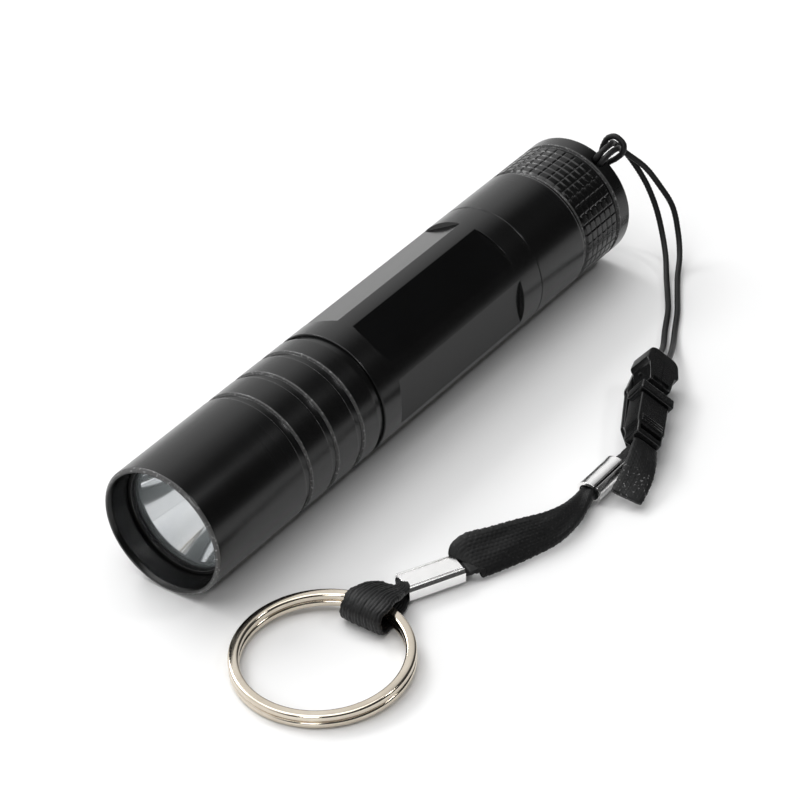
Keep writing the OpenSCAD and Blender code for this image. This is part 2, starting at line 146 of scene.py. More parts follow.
# %% A finish with its Principled shader
class Finish(Patch):
    """A material: constants go on the shader, and feed() wires what changes over the surface."""

    def __init__(self, name, **constants):
        self.material = bpy.data.materials.new(name)
        self.material.use_nodes = True
        super().__init__(self.material.node_tree)
        self.shader = self.tree.nodes["Principled BSDF"]
        for key, value in constants.items():
            self.shader.inputs[key.replace("_", " ")].default_value = value

    def feed(self, name, wire):
        self.tree.links.new(wire.socket, self.shader.inputs[name])

    def place(self):
        return self.node("ShaderNodeTexCoord", output="Object")

    def stretched(self, scale):
        return self.node("ShaderNodeMapping", values={"Vector": self.place(), "Scale": scale})

    def noise(self, vector, scale, detail=2.0):
        return self.node("ShaderNodeTexNoise", values={"Vector": vector, "Scale": scale, "Detail": detail})

    def bump(self, height, depth, strength=1.0):
        self.feed("Normal", self.node("ShaderNodeBump", values={
            "Strength": strength, "Distance": depth, "Height": height}))


def grey(level, warmth=0.0):
    return (level * (1 + warmth), level, level * (1 - warmth), 1)

# %% [markdown]
# ## The finishes
# Anodising is a hard clear skin over turned aluminium, so it shines like lacquer and keeps the
# fine rings that the lathe left. The rings are noise read along the barrel only. Milled flats
# carry lines along the barrel instead, so they use the same recipe with other stretches.

# %% Black anodising, turned and milled
def anodised(name, stretch, line_depth, rough, index):
    skin = Finish(name, IOR=index)
    lines = skin.noise(skin.stretched(stretch), 1.0, 3.0)
    cloud = skin.noise(skin.place(), 90.0)
    edge_mark = skin.node("ShaderNodeAttribute", {"attribute_name": "edge"}, output="Fac")
    chips = edge_mark * skin.ramp(skin.noise(skin.place(), 2600.0, 4.0), 0.56, 0.68)
    tone = skin.blend(cloud, grey(0.002), grey(0.0045, -0.04))
    # Where the edge attribute is set, the colour is lifted towards grey: its 0.22 share is a painted
    # highlight line along crisp edges, and the noisy chips are real wear.
    skin.feed("Base Color", skin.blend(edge_mark * 0.22 + chips * 0.5, tone, grey(0.3)))
    skin.feed("Roughness", rough + lines * 0.1 + cloud * 0.05)
    skin.bump(lines, line_depth, 0.3)
    return skin.material


turned_black = anodised("turned_black", (9000, 25, 25), 4e-6, 0.17, 1.45)
milled_black = anodised("milled_black", (160, 5000, 5000), 2e-6, 0.09, 1.33)
print("anodising ready")

# %% [markdown]
# The reflector is vacuum-coated plastic: a near mirror with the faintest spun rings. The glass
# in front of it is drawn mostly see-through, because a true glass shader would hide the bowl
# behind slow, noisy light.

# %% Mirror, glass and emitter
def mirror():
    bowl = Finish("bowl_mirror", Metallic=1.0)
    haze = bowl.noise(bowl.place(), 260.0, 3.0)
    bowl.feed("Base Color", bowl.blend(haze, grey(0.8, -0.02), grey(0.93)))
    bowl.feed("Roughness", 0.03 + haze * 0.06)
    return bowl.material


def clear_glass():
    pane = Finish("clear_glass", Roughness=0.03, IOR=1.5)
    pane.shader.inputs["Base Color"].default_value = (0.85, 0.93, 0.95, 1)
    pane.feed("Alpha", 0.07 + pane.noise(pane.place(), 400.0) * 0.05)
    return pane.material


def phosphor():
    chip = Finish("phosphor", IOR=1.55, Coat_Weight=1.0)
    grain = chip.noise(chip.place(), 5000.0, 3.0)
    chip.feed("Base Color", chip.blend(grain, (0.78, 0.6, 0.07, 1), (0.95, 0.84, 0.3, 1)))
    chip.feed("Roughness", 0.2 + grain * 0.2)
    return chip.material


bowl_mirror, lens_clear, led_yellow = mirror(), clear_glass(), phosphor()

# %% [markdown]
# Rubber, moulded plastic, board lacquer and plain metals differ in tone, gloss and the size of
# their grain, so one recipe with a few numbers makes them all.

# %% Plain moulded, plated and turned finishes
def grained(name, dark, light, rough, grain, depth, metal=0.0):
    """Tone runs from dark to light, roughness from its first number up by its second."""
    plain = Finish(name, Metallic=metal)
    fine = plain.noise(plain.place(), grain, 4.0)
    broad = plain.noise(plain.place(), grain / 14, 2.0)
    plain.feed("Base Color", plain.blend(broad, dark, light))
    plain.feed("Roughness", rough[0] + fine * rough[1])
    plain.bump(fine, depth, 0.5)
    return plain.material


seal_rubber = grained("seal_rubber", grey(0.012), grey(0.03), (0.45, 0.3), 3000, 8e-6)
boot_rubber = grained("boot_rubber", grey(0.012), grey(0.022), (0.5, 0.25), 4200, 1.2e-5)
clip_plastic = grained("clip_plastic", grey(0.004), grey(0.009, -0.04), (0.15, 0.13), 2600, 1.5e-6)
white_plastic = grained("white_plastic", grey(0.7), grey(0.82, 0.02), (0.45, 0.2), 2500, 5e-6)
ring_metal = grained("ring_metal", grey(0.5), grey(0.64), (0.25, 0.25), 5000, 4e-6, 1.0)
board_green = grained("board_green", (0.01, 0.09, 0.03, 1), (0.02, 0.16, 0.06, 1), (0.25, 0.2), 2400, 1.5e-5)
brass = grained("brass", (0.55, 0.38, 0.13, 1), (0.72, 0.52, 0.22, 1), (0.22, 0.2), 4000, 4e-6, 1.0)
spring_plate = grained("spring_plate", (0.62, 0.5, 0.3, 1), (0.75, 0.64, 0.42, 1), (0.2, 0.2), 4000,
                       3e-6, 1.0)
cell_steel = grained("cell_steel", grey(0.5), grey(0.66, 0.02), (0.2, 0.25), 3500, 3e-6, 1.0)
cell_sleeve = grained("cell_sleeve", (0.01, 0.05, 0.16, 1), (0.02, 0.09, 0.25, 1), (0.2, 0.15), 1800, 6e-6)
star_metal = grained("star_metal", grey(0.62), grey(0.78), (0.3, 0.2), 3000, 4e-6, 1.0)
print("grained finishes ready")

# %% [markdown]
# The crimps are bright soft metal, pressed by a tool: dented, with fine scratches. The split
# ring is polished nickel, slightly warm, with scratches left by keys that run round the wire.

# %% Crimp metal and nickel
def pressed_metal():
    metal = Finish("pressed_metal", Metallic=1.0)
    dents = metal.noise(metal.place(), 520.0, 3.0)
    scratch = metal.noise(metal.stretched((900, 6000, 6000)), 1.0, 3.0)
    metal.feed("Base Color", metal.blend(dents, grey(0.88), grey(0.98, 0.01)))
    metal.feed("Roughness", 0.12 + scratch * 0.2)
    metal.bump(dents * 0.9 + scratch * 0.1, 8e-5, 0.4)
    return metal.material


def polished_nickel():
    metal = Finish("polished_nickel", Metallic=1.0)
    along = metal.node("ShaderNodeUVMap")
    lines = metal.noise(metal.node("ShaderNodeMapping", values={
        "Vector": along, "Scale": (0.6, 34, 1)}), 1.0, 4.0)
    cloud = metal.noise(metal.place(), 240.0, 3.0)
    metal.feed("Base Color", metal.blend(cloud, (0.56, 0.49, 0.4, 1), (0.84, 0.77, 0.66, 1)))
    metal.feed("Roughness", 0.05 + lines * 0.14)
    metal.bump(lines, 4e-6, 0.3)
    return metal.material


crimp_bright, nickel = pressed_metal(), polished_nickel()

# %% [markdown]
# Cord and strap are woven nylon. Their meshes carry real threads; the finish adds the fibres
# inside each thread from the mesh's own UV map, which follows the cloth round every bend.

# %% Woven nylon
def woven(name, across, along, dust):
    cloth = Finish(name, Sheen_Weight=0.04, Sheen_Roughness=0.4, Specular_IOR_Level=0.32)
    uv = cloth.node("ShaderNodeUVMap")
    fibre = cloth.noise(cloth.node("ShaderNodeMapping", values={
        "Vector": uv, "Scale": (across, along, 1)}), 1.0, 3.0)
    speck = cloth.ramp(cloth.noise(cloth.place(), 2600.0, 3.0), 0.62, 0.72)
    edge_mark = cloth.node("ShaderNodeAttribute", {"attribute_name": "edge"}, output="Fac")
    tone = cloth.blend(fibre, grey(0.0012), grey(0.006, -0.06))
    cloth.feed("Base Color", cloth.blend(speck * (edge_mark * 0.5 + dust), tone, grey(0.36)))
    cloth.feed("Roughness", 0.34 + fibre * 0.3)
    cloth.bump(fibre, 2.5e-5, 0.6)
    return cloth.material


strap_black = woven("strap_black", 30, 3.0, 0.06)
cord_black = woven("cord_black", 8, 4.0, 0.02)
print("woven finishes ready")

# %% [markdown]
# ## Making meshes
# Every piece below ends as one plain mesh whose object sits at the origin. Points are given in
# millimetres. Smooth shading with weighted normals keeps large faces flat beside small rounded
# edges, as on machined metal.

# %% From points to a finished piece
def evaluated(obj):
    """Replaces an object's mesh by what its modifiers make of it."""
    graph = bpy.context.evaluated_depsgraph_get()
    mesh = bpy.data.meshes.new_from_object(obj.evaluated_get(graph))
    obj.modifiers.clear()
    obj.data = mesh
    return obj


def piece(name, points, faces, material, merge=True):
    mesh = bpy.data.meshes.new(name)
    mesh.from_pydata([tuple(Vector(p) * MM) for p in points], [], faces)
    mesh.materials.append(material)
    build = bmesh.new()
    build.from_mesh(mesh)
    if merge:
        bmesh.ops.remove_doubles(build, verts=build.verts, dist=2e-6)
        bmesh.ops.dissolve_degenerate(build, edges=build.edges, dist=1e-6)
    bmesh.ops.recalc_face_normals(build, faces=build.faces)
    build.to_mesh(mesh)
    build.free()
    obj = bpy.data.objects.new(name, mesh)
    bpy.context.collection.objects.link(obj)
    return obj


def smooth(obj, angle=40, bevel=0.0, limit=30, segments=2):
    """Bevels sharp edges when asked, then shades the piece like machined metal."""
    if bevel:
        edge = obj.modifiers.new("edges", "BEVEL")
        edge.width = bevel * MM
        edge.segments = segments
        edge.limit_method = "ANGLE"
        edge.angle_limit = radians(limit)
        evaluated(obj)
    obj.data.shade_smooth()
    obj.data.set_sharp_from_angle(angle=radians(angle))
    weigh = obj.modifiers.new("normals", "WEIGHTED_NORMAL")
    weigh.keep_sharp = True
    return evaluated(obj)


def settle(obj, body, slot, *nodes):
    """Puts a finished piece on its body, in place of its nodes."""
    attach(obj, body)
    if nodes:
        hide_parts(*nodes)
    print(obj.name, len(obj.data.polygons), "faces on", body)
    return obj

# %% [markdown]
# ## Turned pieces
# Nearly everything on the barrel's axis comes off a lathe: an outline turned round the axis.
# A Screw modifier could do it, but flats need rows that dip, so each row here may be a fixed
# station and radius or a rule that changes round the axis.
#
# No turned edge is perfectly sharp. A Bevel modifier would round them all alike, so the outline
# itself gets a small arc at each corner, with its own size where one is given. Beside a long
# side one more row stands guard, so that a mark on the edge doesn't spread over the side.

# %% Rounded outlines
LONG_SIDE, GUARD = 1.3, 0.3


def softened(outline, size):
    """Rounds the corners of a closed outline of stations, radii and corner sizes."""
    out = []
    count = len(outline)
    for i, corner in enumerate(outline):
        here = Vector(corner[:2])
        cut = corner[2] if len(corner) > 2 else size
        before, after = Vector(outline[i - 1][:2]) - here, Vector(outline[(i + 1) % count][:2]) - here
        cut = min(cut, 0.45 * before.length, 0.45 * after.length)
        if here.y < 1e-6 or before.normalized().dot(after.normalized()) < -0.99 or cut < 0.004:
            out.append(tuple(here))
            continue
        first, last = here + before.normalized() * cut, here + after.normalized() * cut
        if before.length > LONG_SIDE:
            out.append(tuple(here + before.normalized() * GUARD))
        for share in (0, 1 / 3, 2 / 3, 1):
            point = first * (1 - share) ** 2 + here * 2 * share * (1 - share) + last * share ** 2
            out.append(tuple(point))
        if after.length > LONG_SIDE:
            out.append(tuple(here + after.normalized() * GUARD))
    return out

# %% [markdown]
# A station is a distance behind the front rim, in millimetres. The angle is measured from the
# horizontal on the lanyard's side, so the lanyard hole and the flats can use it too.

# %% Lathe
def on_axis(station, radius, angle):
    """Point at an angle above the horizontal on the lanyard's side."""
    return (rim_x / MM + station, -radius * cos(angle), body_r + radius * sin(angle))


def lathe(name, rows, material, steps=144, angles=None):
    angles = angles or [2 * pi * i / steps for i in range(steps)]
    around = len(angles)
    points = []
    for row in rows:
        for angle in angles:
            station, radius = row(angle) if callable(row) else row[:2]
            points.append(on_axis(station, radius, angle))
    faces = [(i * around + j, i * around + (j + 1) % around,
              (i + 1) % len(rows) * around + (j + 1) % around, (i + 1) % len(rows) * around + j)
             for i in range(len(rows)) for j in range(around)]
    return piece(name, points, faces, material)

# %% [markdown]
# An attribute marks chosen edges. The finish paints a thin lighter line on them, a painted highlight for the
# light that crisp edges catch, and adds chips of bare metal where anodising wears against keys. A Pointiness
# node could find edges, but not choose them.

# %% Edge marks: painted highlight lines and wear
def mark_edges(obj, stations, reach=0.22, least_radius=0.0):
    """Writes the attribute that marks edges for a painted highlight line and for wear chips."""
    attribute = obj.data.attributes.new("edge", "FLOAT", "POINT")
    values = np.zeros(len(obj.data.vertices), np.float32)
    for i, vertex in enumerate(obj.data.vertices):
        station = (vertex.co.x - rim_x) / MM
        radius = sqrt(vertex.co.y ** 2 + (vertex.co.z - axis_z) ** 2) / MM
        if radius > least_radius and any(abs(station - s) < reach for s in stations):
            values[i] = 1.0
    attribute.data.foreach_set("value", values)

# %% [markdown]
# ## Head
# The head is a plain tube with a chamfered rim, three grooves, and half a groove where it meets
# the barrel. Its grooves have crisp edges that catch the light, so the corners are rounded by
# about a tenth of a millimetre or less.

# %% Head tube
groove_w, groove_depth, groove_pitch = 1.4, 0.35, 5.95
first_groove, head_end = 19.2, 37.4
groove_stations = [first_groove + i * groove_pitch for i in range(3)]
head_outline = [(0.6, 9.02, 0.1), (0.0, body_r - 0.65, 0.06), (0.0, body_r - 0.3, 0.08), (0.3, body_r, 0.12)]
for start in groove_stations:
    head_outline += [(start, body_r, 0.12), (start + 0.12, body_r - groove_depth, 0.05),
                     (start + groove_w - 0.12, body_r - groove_depth, 0.05), (start + groove_w, body_r, 0.12)]
head_outline += [(head_end - 1.4, body_r, 0.05), (head_end - 1.28, body_r - groove_depth, 0.05),
                 (head_end, body_r - groove_depth, 0.05), (head_end, 8.86), (31.2, 8.86), (31.2, 8.5),
                 (17.9, 8.5), (17.9, 8.75), (5.6, 8.75), (5.6, 9.02)]
head = smooth(lathe("head_tube", softened(head_outline, 0.04), turned_black, 192))
# The rims and groove edges get a painted highlight line, with a few chips of wear.
mark_edges(head, [0.0, 0.25] + [s for g in groove_stations for s in (g, g + groove_w)], 0.12, body_r - 0.4)
settle(head, "light", "black_anodised", "head_shell")

# %% [markdown]
# ## Behind the rim
# A thin ring presses a rubber gasket onto the glass. Their edges show as fine lines deep
# inside the bezel. Both are plain rings, so each is one short outline, turned.

# %% Retaining ring and seal
retainer_outline = [(3.8, 8.35), (3.8, 8.99), (4.5, 8.99), (4.5, 8.3)]
retainer = lathe("lens_ring", softened(retainer_outline, 0.12), turned_black, 160)
settle(smooth(retainer), "light", "black_anodised", "lens_retainer")
gasket_outline = [(4.5, 8.4), (4.5, 8.96), (4.8, 8.96), (4.8, 8.32)]
gasket = lathe("lens_gasket", softened(gasket_outline, 0.08), seal_rubber, 128)
settle(smooth(gasket), "light", "seal_rubber", "lens_seal")

# %% [markdown]
# ## Reflector
# A parabola throws the emitter's light forward. Its outline follows the formula with many short
# steps, so the mirror shows clean bands instead of facets.

# %% Reflector bowl
mouth_r, base_r, bowl_depth, bowl_front = 8.1, 2.6, 12.3, 5.6


def bowl_radius(depth):
    return sqrt(mouth_r ** 2 - (mouth_r ** 2 - base_r ** 2) * depth / bowl_depth)


bowl_rows = [(bowl_front + bowl_depth * i / 40, bowl_radius(bowl_depth * i / 40)) for i in range(41)]
bowl_rows += [(bowl_front + bowl_depth, 4.6)]
bowl_rows += [(bowl_front + bowl_depth * i / 10, min(bowl_radius(bowl_depth * i / 10) + 1, 8.6))
              for i in range(8, 1, -2)]
bowl_rows += [(bowl_front + 1, 8.7), (bowl_front + 0.06, 8.7), (bowl_front, 8.62), (bowl_front, 8.16)]
bowl = smooth(lathe("reflector_bowl", bowl_rows, bowl_mirror, 192))
settle(bowl, "light", "reflector_mirror", "reflector")

# %% [markdown]
# ## Lens
# The lens is a flat disc of coated glass with ground edges. It lies behind its seal and in front
# of the bowl. A cylinder would show a hard black rim, so its edge is turned with a small chamfer.

# %% Lens
pane_rows = [(4.8, 0.0), (4.8, 8.7), (4.86, 8.82), (4.95, 8.88),
             (5.45, 8.88), (5.54, 8.82), (5.59, 8.7), (5.59, 0.0)]
pane = smooth(lathe("lens_pane", pane_rows, lens_clear, 128))
settle(pane, "light", "lens_glass", "lens")

# %% [markdown]
# ## Emitter
# The emitter is a square ceramic package with a clear dome. It sits at the bottom of the bowl,
# so it is a small detail that is seen only from straight ahead.

# %% Emitter package and dome
dome_base, dome_r = 17.7, 1.3
dome_rows = [(dome_base - dome_r * sin(pi / 2 * i / 12), dome_r * cos(pi / 2 * i / 12)) for i in range(12)]
dome_rows += [(dome_base - dome_r, 0.0), (dome_base + 0.05, 0.0), (dome_base + 0.05, dome_r)]
dome = smooth(lathe("led_dome", dome_rows, led_yellow, 48))
settle(dome, "light", "led_phosphor")


def box_points(low, high):
    return [(x, y, z) for x in (low[0], high[0]) for y in (low[1], high[1]) for z in (low[2], high[2])]


BOX_FACES = [(0, 1, 3, 2), (4, 6, 7, 5), (0, 4, 5, 1), (2, 3, 7, 6), (0, 2, 6, 4), (1, 5, 7, 3)]
package_half, package_front, package_rear = 3.45 / 2, 17.75, 18.6
package_points = box_points((rim_x / MM + package_front, -package_half, body_r - package_half),
                            (rim_x / MM + package_rear, package_half, body_r + package_half))
package = smooth(piece("led_package", package_points, BOX_FACES, white_plastic), 40, 0.18)
settle(package, "light", "led_phosphor", "led_emitter")

# %% [markdown]
# ## Barrel with milled flats
# Six flats are milled round the barrel, each with a ramp at its front and a square wall at its
# rear. Booleans would cut them, but then the edges need repair. Here the rows of the lathe know
# where a flat is: inside one, the radius follows the flat plane and the front row follows the
# ramp, so every edge is already a clean line for the bevel.

# %% Barrel tube
flat_count, flat_arc = 6, radians(45)
flat_start, flat_end = 42.0, 72.0
face_r = body_r * cos(flat_arc / 2)
joint_station, tube_rear, bore_r = 76.7, 84.2, 7.45
root_r, seat_r = 8.35, 8.0


def off_flat(angle):
    """Angle from the middle of the nearest flat."""
    step = 2 * pi / flat_count
    return (angle + step / 2) % step - step / 2


def in_flat(angle):
    return abs(off_flat(angle)) < flat_arc / 2 + 1e-6


def ramp_top(angle):
    return (flat_start - (body_r * cos(off_flat(angle)) - face_r) if in_flat(angle) else flat_start, body_r)


def flat_row(station):
    return lambda angle: (station, face_r / cos(off_flat(angle)) if in_flat(angle) else body_r)


barrel_angles = []
for k in range(flat_count):
    middle = 2 * pi * k / flat_count
    ridge = 2 * pi / flat_count - flat_arc
    barrel_angles += [middle - flat_arc / 2 + flat_arc * i / 20 for i in range(20)]
    barrel_angles += [middle + flat_arc / 2 + ridge * i / 7 for i in range(7)]
barrel_rows = [(31.4, bore_r), (31.4, root_r - 0.25), (31.65, root_r), (35.8, root_r), (35.8, seat_r),
               (37.2, seat_r), (37.2, root_r), (head_end, root_r), (head_end, body_r - 0.12),
               (head_end + 0.12, body_r), ramp_top, flat_row(flat_start), flat_row(flat_end),
               (flat_end, body_r), (joint_station - 0.12, body_r), (joint_station, body_r - 0.12),
               (joint_station, root_r), (77.2, root_r), (77.2, seat_r), (78.6, seat_r), (78.6, root_r),
               (83.9, root_r), (tube_rear, root_r - 0.3), (tube_rear, bore_r)]
barrel = lathe("barrel_tube", barrel_rows, turned_black, angles=barrel_angles)
smooth(barrel, 35, 0.05, 16, 2)
barrel.data.materials.append(milled_black)
for face in barrel.data.polygons:
    x, y, z = face.center / MM - Vector((rim_x / MM, 0, body_r))
    within = flat_start - 0.8 < x < flat_end - 0.02
    if within and 9 ** 2 < y * y + z * z < (body_r - 0.06) ** 2:
        face.material_index = 1
settle(barrel, "light", "black_anodised", "barrel")

# %% [markdown]
# ## Threads and springs
# A thread and a spring are the same thing: a profile carried along a helix. The working model
# has plain rings for the threads, so these helices are looks only. One Geometry Nodes tree
# makes them all from a spiral curve and a round or diamond profile. Three helpers come first:
# they open a tree with named inputs, close it, and run it once to keep its mesh.

# %% Opening and closing a tree
def interface(tree, inputs):
    tree.interface.new_socket(name="Geometry", in_out="OUTPUT", socket_type="NodeSocketGeometry")
    for label, kind in inputs:
        tree.interface.new_socket(name=label, in_out="INPUT", socket_type="NodeSocket" + kind)
    patch = Patch(tree)
    group = tree.nodes.new("NodeGroupInput")
    return patch, {label: Wire(patch, group.outputs[label]) for label, _ in inputs}


def close_tree(patch, geometry, material):
    whole = patch.node("GeometryNodeRealizeInstances", values={0: geometry})
    dressed = patch.node("GeometryNodeSetMaterial", values={"Geometry": whole, "Material": material})
    patch.tree.links.new(dressed.socket, patch.tree.nodes.new("NodeGroupOutput").inputs[0])


def grown(name, tree, values, material, angle=40):
    """Runs a Geometry Nodes tree once and keeps its mesh."""
    obj = bpy.data.objects.new(name, bpy.data.meshes.new(name))
    bpy.context.collection.objects.link(obj)
    modifier = obj.modifiers.new("grow", "NODES")
    modifier.node_group = tree
    for item in tree.interface.items_tree:
        if item.in_out == "INPUT":
            modifier[item.identifier] = material if item.name == "Material" else values[item.name]
    evaluated(obj)
    if not obj.data.materials:
        obj.data.materials.append(material)
    obj.data.shade_smooth()
    obj.data.set_sharp_from_angle(angle=radians(angle))
    return obj

# %% [markdown]
# The spiral stands upright, so it is laid along the body's axis at the end. A profile with
# four sides makes a thread's ridge, and one with many makes a spring's wire.

# %% Helix tree
def helix_tree():
    tree = bpy.data.node_groups.new("helix", "GeometryNodeTree")
    patch, given = interface(tree, [
        ("Turns", "Float"), ("Front Radius", "Float"), ("Rear Radius", "Float"), ("Length", "Float"),
        ("Start", "Float"), ("Axis Height", "Float"), ("Profile Radius", "Float"),
        ("Profile Sides", "Int"), ("Material", "Material")])
    line = patch.node("GeometryNodeCurveSpiral", values={
        "Resolution": 48, "Rotations": given["Turns"], "Start Radius": given["Front Radius"],
        "End Radius": given["Rear Radius"], "Height": given["Length"], "Reverse": True})
    upright = patch.node("GeometryNodeSetCurveNormal", {"mode": "Z_UP"}, {"Curve": line})
    profile = patch.node("GeometryNodeCurvePrimitiveCircle", values={
        "Resolution": given["Profile Sides"], "Radius": given["Profile Radius"]})
    tube = patch.node("GeometryNodeCurveToMesh", values={
        "Curve": upright, "Profile Curve": profile, "Fill Caps": True})
    place = patch.node("ShaderNodeCombineXYZ", values={0: given["Start"], 2: given["Axis Height"]})
    laid = patch.node("GeometryNodeTransform", values={
        "Geometry": tube, "Translation": place, "Rotation": (0, pi / 2, 0)})
    close_tree(patch, laid, given["Material"])
    return tree


helices = helix_tree()


def helix(name, start, end, front_r, rear_r, turns, wire_r, sides, material):
    return grown(name, helices, {
        "Turns": turns, "Front Radius": front_r * MM, "Rear Radius": rear_r * MM,
        "Length": (end - start) * MM, "Start": rim_x + start * MM, "Axis Height": axis_z,
        "Profile Radius": wire_r * MM, "Profile Sides": sides}, material)

# %% [markdown]
# The threads take a four-sided profile, the springs a round one. Each ends inside its
# neighbours, as the real ones do.

# %% Threads and springs
front_thread = helix("barrel_thread_front", 32.3, 35.3, root_r, root_r, 3.0, 0.44, 4, turned_black)
rear_thread = helix("barrel_thread_rear", 79.2, 83.2, root_r, root_r, 4.0, 0.44, 4, turned_black)
contact_spring = helix("driver_coil", 30.35, 32.45, 3.2, 1.9, 2.5, 0.3, 12, spring_plate)
return_spring = helix("tail_coil", 83.55, 86.45, 2.6, 4.4, 3.5, 0.3, 12, spring_plate)
settle(front_thread, "light", "black_anodised")
settle(rear_thread, "light", "black_anodised")
settle(contact_spring, "light", "spring_steel", "driver_spring")
settle(return_spring, "tail", "spring_steel", "tail_spring")

# %% [markdown]
# ## Tail cap
# The cap is turned like the head. Its knurled band is left as a plain root here, with ring
# grooves on both sides, and the wall near the rear rim is drilled for the lanyard.

# %% Tail cap tube
knurl_start, knurl_end, knurl_root = 89.2, 97.1, body_r - 0.3
body_len = (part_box("tail_cap")[1].x - rim_x) / MM
cap_outline = [(joint_station, 8.9, 0.05), (joint_station, body_r - 0.12, 0.05),
               (joint_station + 0.12, body_r, 0.05)]
for start in (88.1, 97.1):
    after = knurl_root if start < 90 else body_r
    before = body_r if start < 90 else knurl_root
    cap_outline += [(start, before, 0.05), (start + 0.1, body_r - 0.42, 0.05),
                    (start + 0.72, body_r - 0.42, 0.05), (start + 0.82, after, 0.05)]
cap_outline += [(body_len - 0.5, body_r, 0.2), (body_len, body_r - 0.5, 0.2), (body_len, 8.1, 0.1),
                (body_len - 0.4, 7.7, 0.1), (97.3, 7.7, 0.15), (97.3, 5.8, 0.1), (95.6, 5.8), (95.6, 8.3),
                (85.4, 8.3), (85.4, 8.9)]
cap = lathe("tail_cap_tube", softened(cap_outline, 0.04), turned_black, 192)
hole_r, hole_station, hole_angle = 1.1, 99.3, radians(60)
hole_tool = bpy.data.meshes.new("hole_tool")
drill = bmesh.new()
bmesh.ops.create_cone(drill, cap_ends=True, segments=40, radius1=hole_r * MM, radius2=hole_r * MM,
                      depth=6 * MM)
outward = Vector((0, -cos(hole_angle), sin(hole_angle)))
turn = outward.to_track_quat("Z", "Y").to_matrix().to_4x4()
spot = Vector(on_axis(hole_station, 9.0, hole_angle)) * MM
drill.transform(Matrix.Translation(spot) @ turn)
drill.to_mesh(hole_tool)
drill.free()
tool = bpy.data.objects.new("hole_tool", hole_tool)
bpy.context.collection.objects.link(tool)
cut = cap.modifiers.new("hole", "BOOLEAN")
cut.object, cut.operation, cut.solver = tool, "DIFFERENCE", "EXACT"
evaluated(cap)
bpy.data.objects.remove(tool)
smooth(cap, 38)
# The groove edges and rear rim get a painted highlight line, with a few chips of wear.
mark_edges(cap, [88.1, 88.92, 97.1, 97.92, body_len, body_len - 0.3], 0.14, body_r - 0.45)
settle(cap, "tail", "black_anodised", "tail_cap")

# %% [markdown]
# ## Knurl
# The grip is a grid of small square studs. Geometry Nodes put one frustum on each point of a
# grid rolled round the cap: the point's index gives its row and its angle. The count, the
# spacing and the stud's size are inputs, so another knurl is a change of numbers.

# %% Knurl tree
def knurl_tree():
    tree = bpy.data.node_groups.new("knurl", "GeometryNodeTree")
    patch, given = interface(tree, [
        ("Around", "Int"), ("Rows", "Int"), ("Row Spacing", "Float"), ("Start", "Float"),
        ("Root Radius", "Float"), ("Axis Height", "Float"), ("Stud Width", "Float"),
        ("Stud Length", "Float"), ("Stud Height", "Float"), ("Material", "Material")])
    index = patch.node("GeometryNodeInputIndex")
    row = (index / given["Around"]).maths("FLOOR", index / given["Around"])
    angle = index * (2 * pi) / given["Around"]
    sine, cosine = angle.maths("SINE", angle), angle.maths("COSINE", angle)
    along = given["Start"] + (row + 0.5) * given["Row Spacing"]
    spot = patch.node("ShaderNodeCombineXYZ", values={
        0: along, 1: sine * given["Root Radius"] * -1.0,
        2: cosine * given["Root Radius"] + given["Axis Height"]})
    points = patch.node("GeometryNodePoints", values={
        "Count": given["Around"] * given["Rows"], "Position": spot})
    stud = patch.node("GeometryNodeMeshCone", {"fill_type": "NGON"}, {
        "Vertices": 4, "Radius Top": 0.5, "Radius Bottom": 0.86, "Depth": 1.0})
    size = patch.node("ShaderNodeCombineXYZ", values={
        0: given["Stud Length"], 1: given["Stud Width"], 2: given["Stud Height"]})
    square = patch.node("GeometryNodeTransform", values={"Geometry": stud, "Rotation": (0, 0, pi / 4)})
    shaped = patch.node("GeometryNodeTransform", values={"Geometry": square, "Scale": size})
    spin = patch.node("ShaderNodeCombineXYZ", values={0: angle})
    studs = patch.node("GeometryNodeInstanceOnPoints", values={
        "Points": points, "Instance": shaped, "Rotation": spin})
    close_tree(patch, studs, given["Material"])
    return tree


band = knurl_end - knurl_start
knurl_rows, knurl_around = 6, 40
knurl = grown("knurl_studs", knurl_tree(), {
    "Around": knurl_around, "Rows": knurl_rows, "Row Spacing": band / knurl_rows * MM,
    "Start": rim_x + knurl_start * MM, "Root Radius": (knurl_root - 0.02) * MM, "Axis Height": axis_z,
    "Stud Width": 2 * pi * body_r / knurl_around * 1.02 * MM, "Stud Length": band / knurl_rows * 1.02 * MM,
    "Stud Height": 0.31 * MM}, turned_black, 20)
smooth(knurl, 30, 0.05, 20, 1)
settle(knurl, "tail", "black_anodised")

# %% [markdown]
# ## Tail button
# The rubber boot is a low dome that the thumb presses. Its outline is turned like the rest,
# with a soft shoulder and a shallow ring moulded round the middle.

# %% Boot dome
boot_outline = [(98.2, 0.0), (98.2, 2.0), (99.4, 2.0), (99.25, 4.0), (98.6, 4.6), (96.3, 4.6),
                (96.3, 5.58), (98.8, 5.58, 0.5), (99.5, 5.1, 0.4), (99.95, 4.3, 0.3), (100.1, 3.6, 0.1),
                (100.02, 3.45, 0.1), (100.02, 3.15, 0.1), (100.2, 3.0, 0.1), (100.34, 1.6, 0.6),
                (100.38, 0.0)]
boot = smooth(lathe("boot_cap", softened(boot_outline, 0.1), boot_rubber, 128), 60)
settle(boot, "tail_button", "boot_rubber", "boot_dome")

# %% [markdown]
# ## Pieces kept from the working model
# Everything sealed inside the light already has its true shape. These nodes stay, and only take
# a finish.

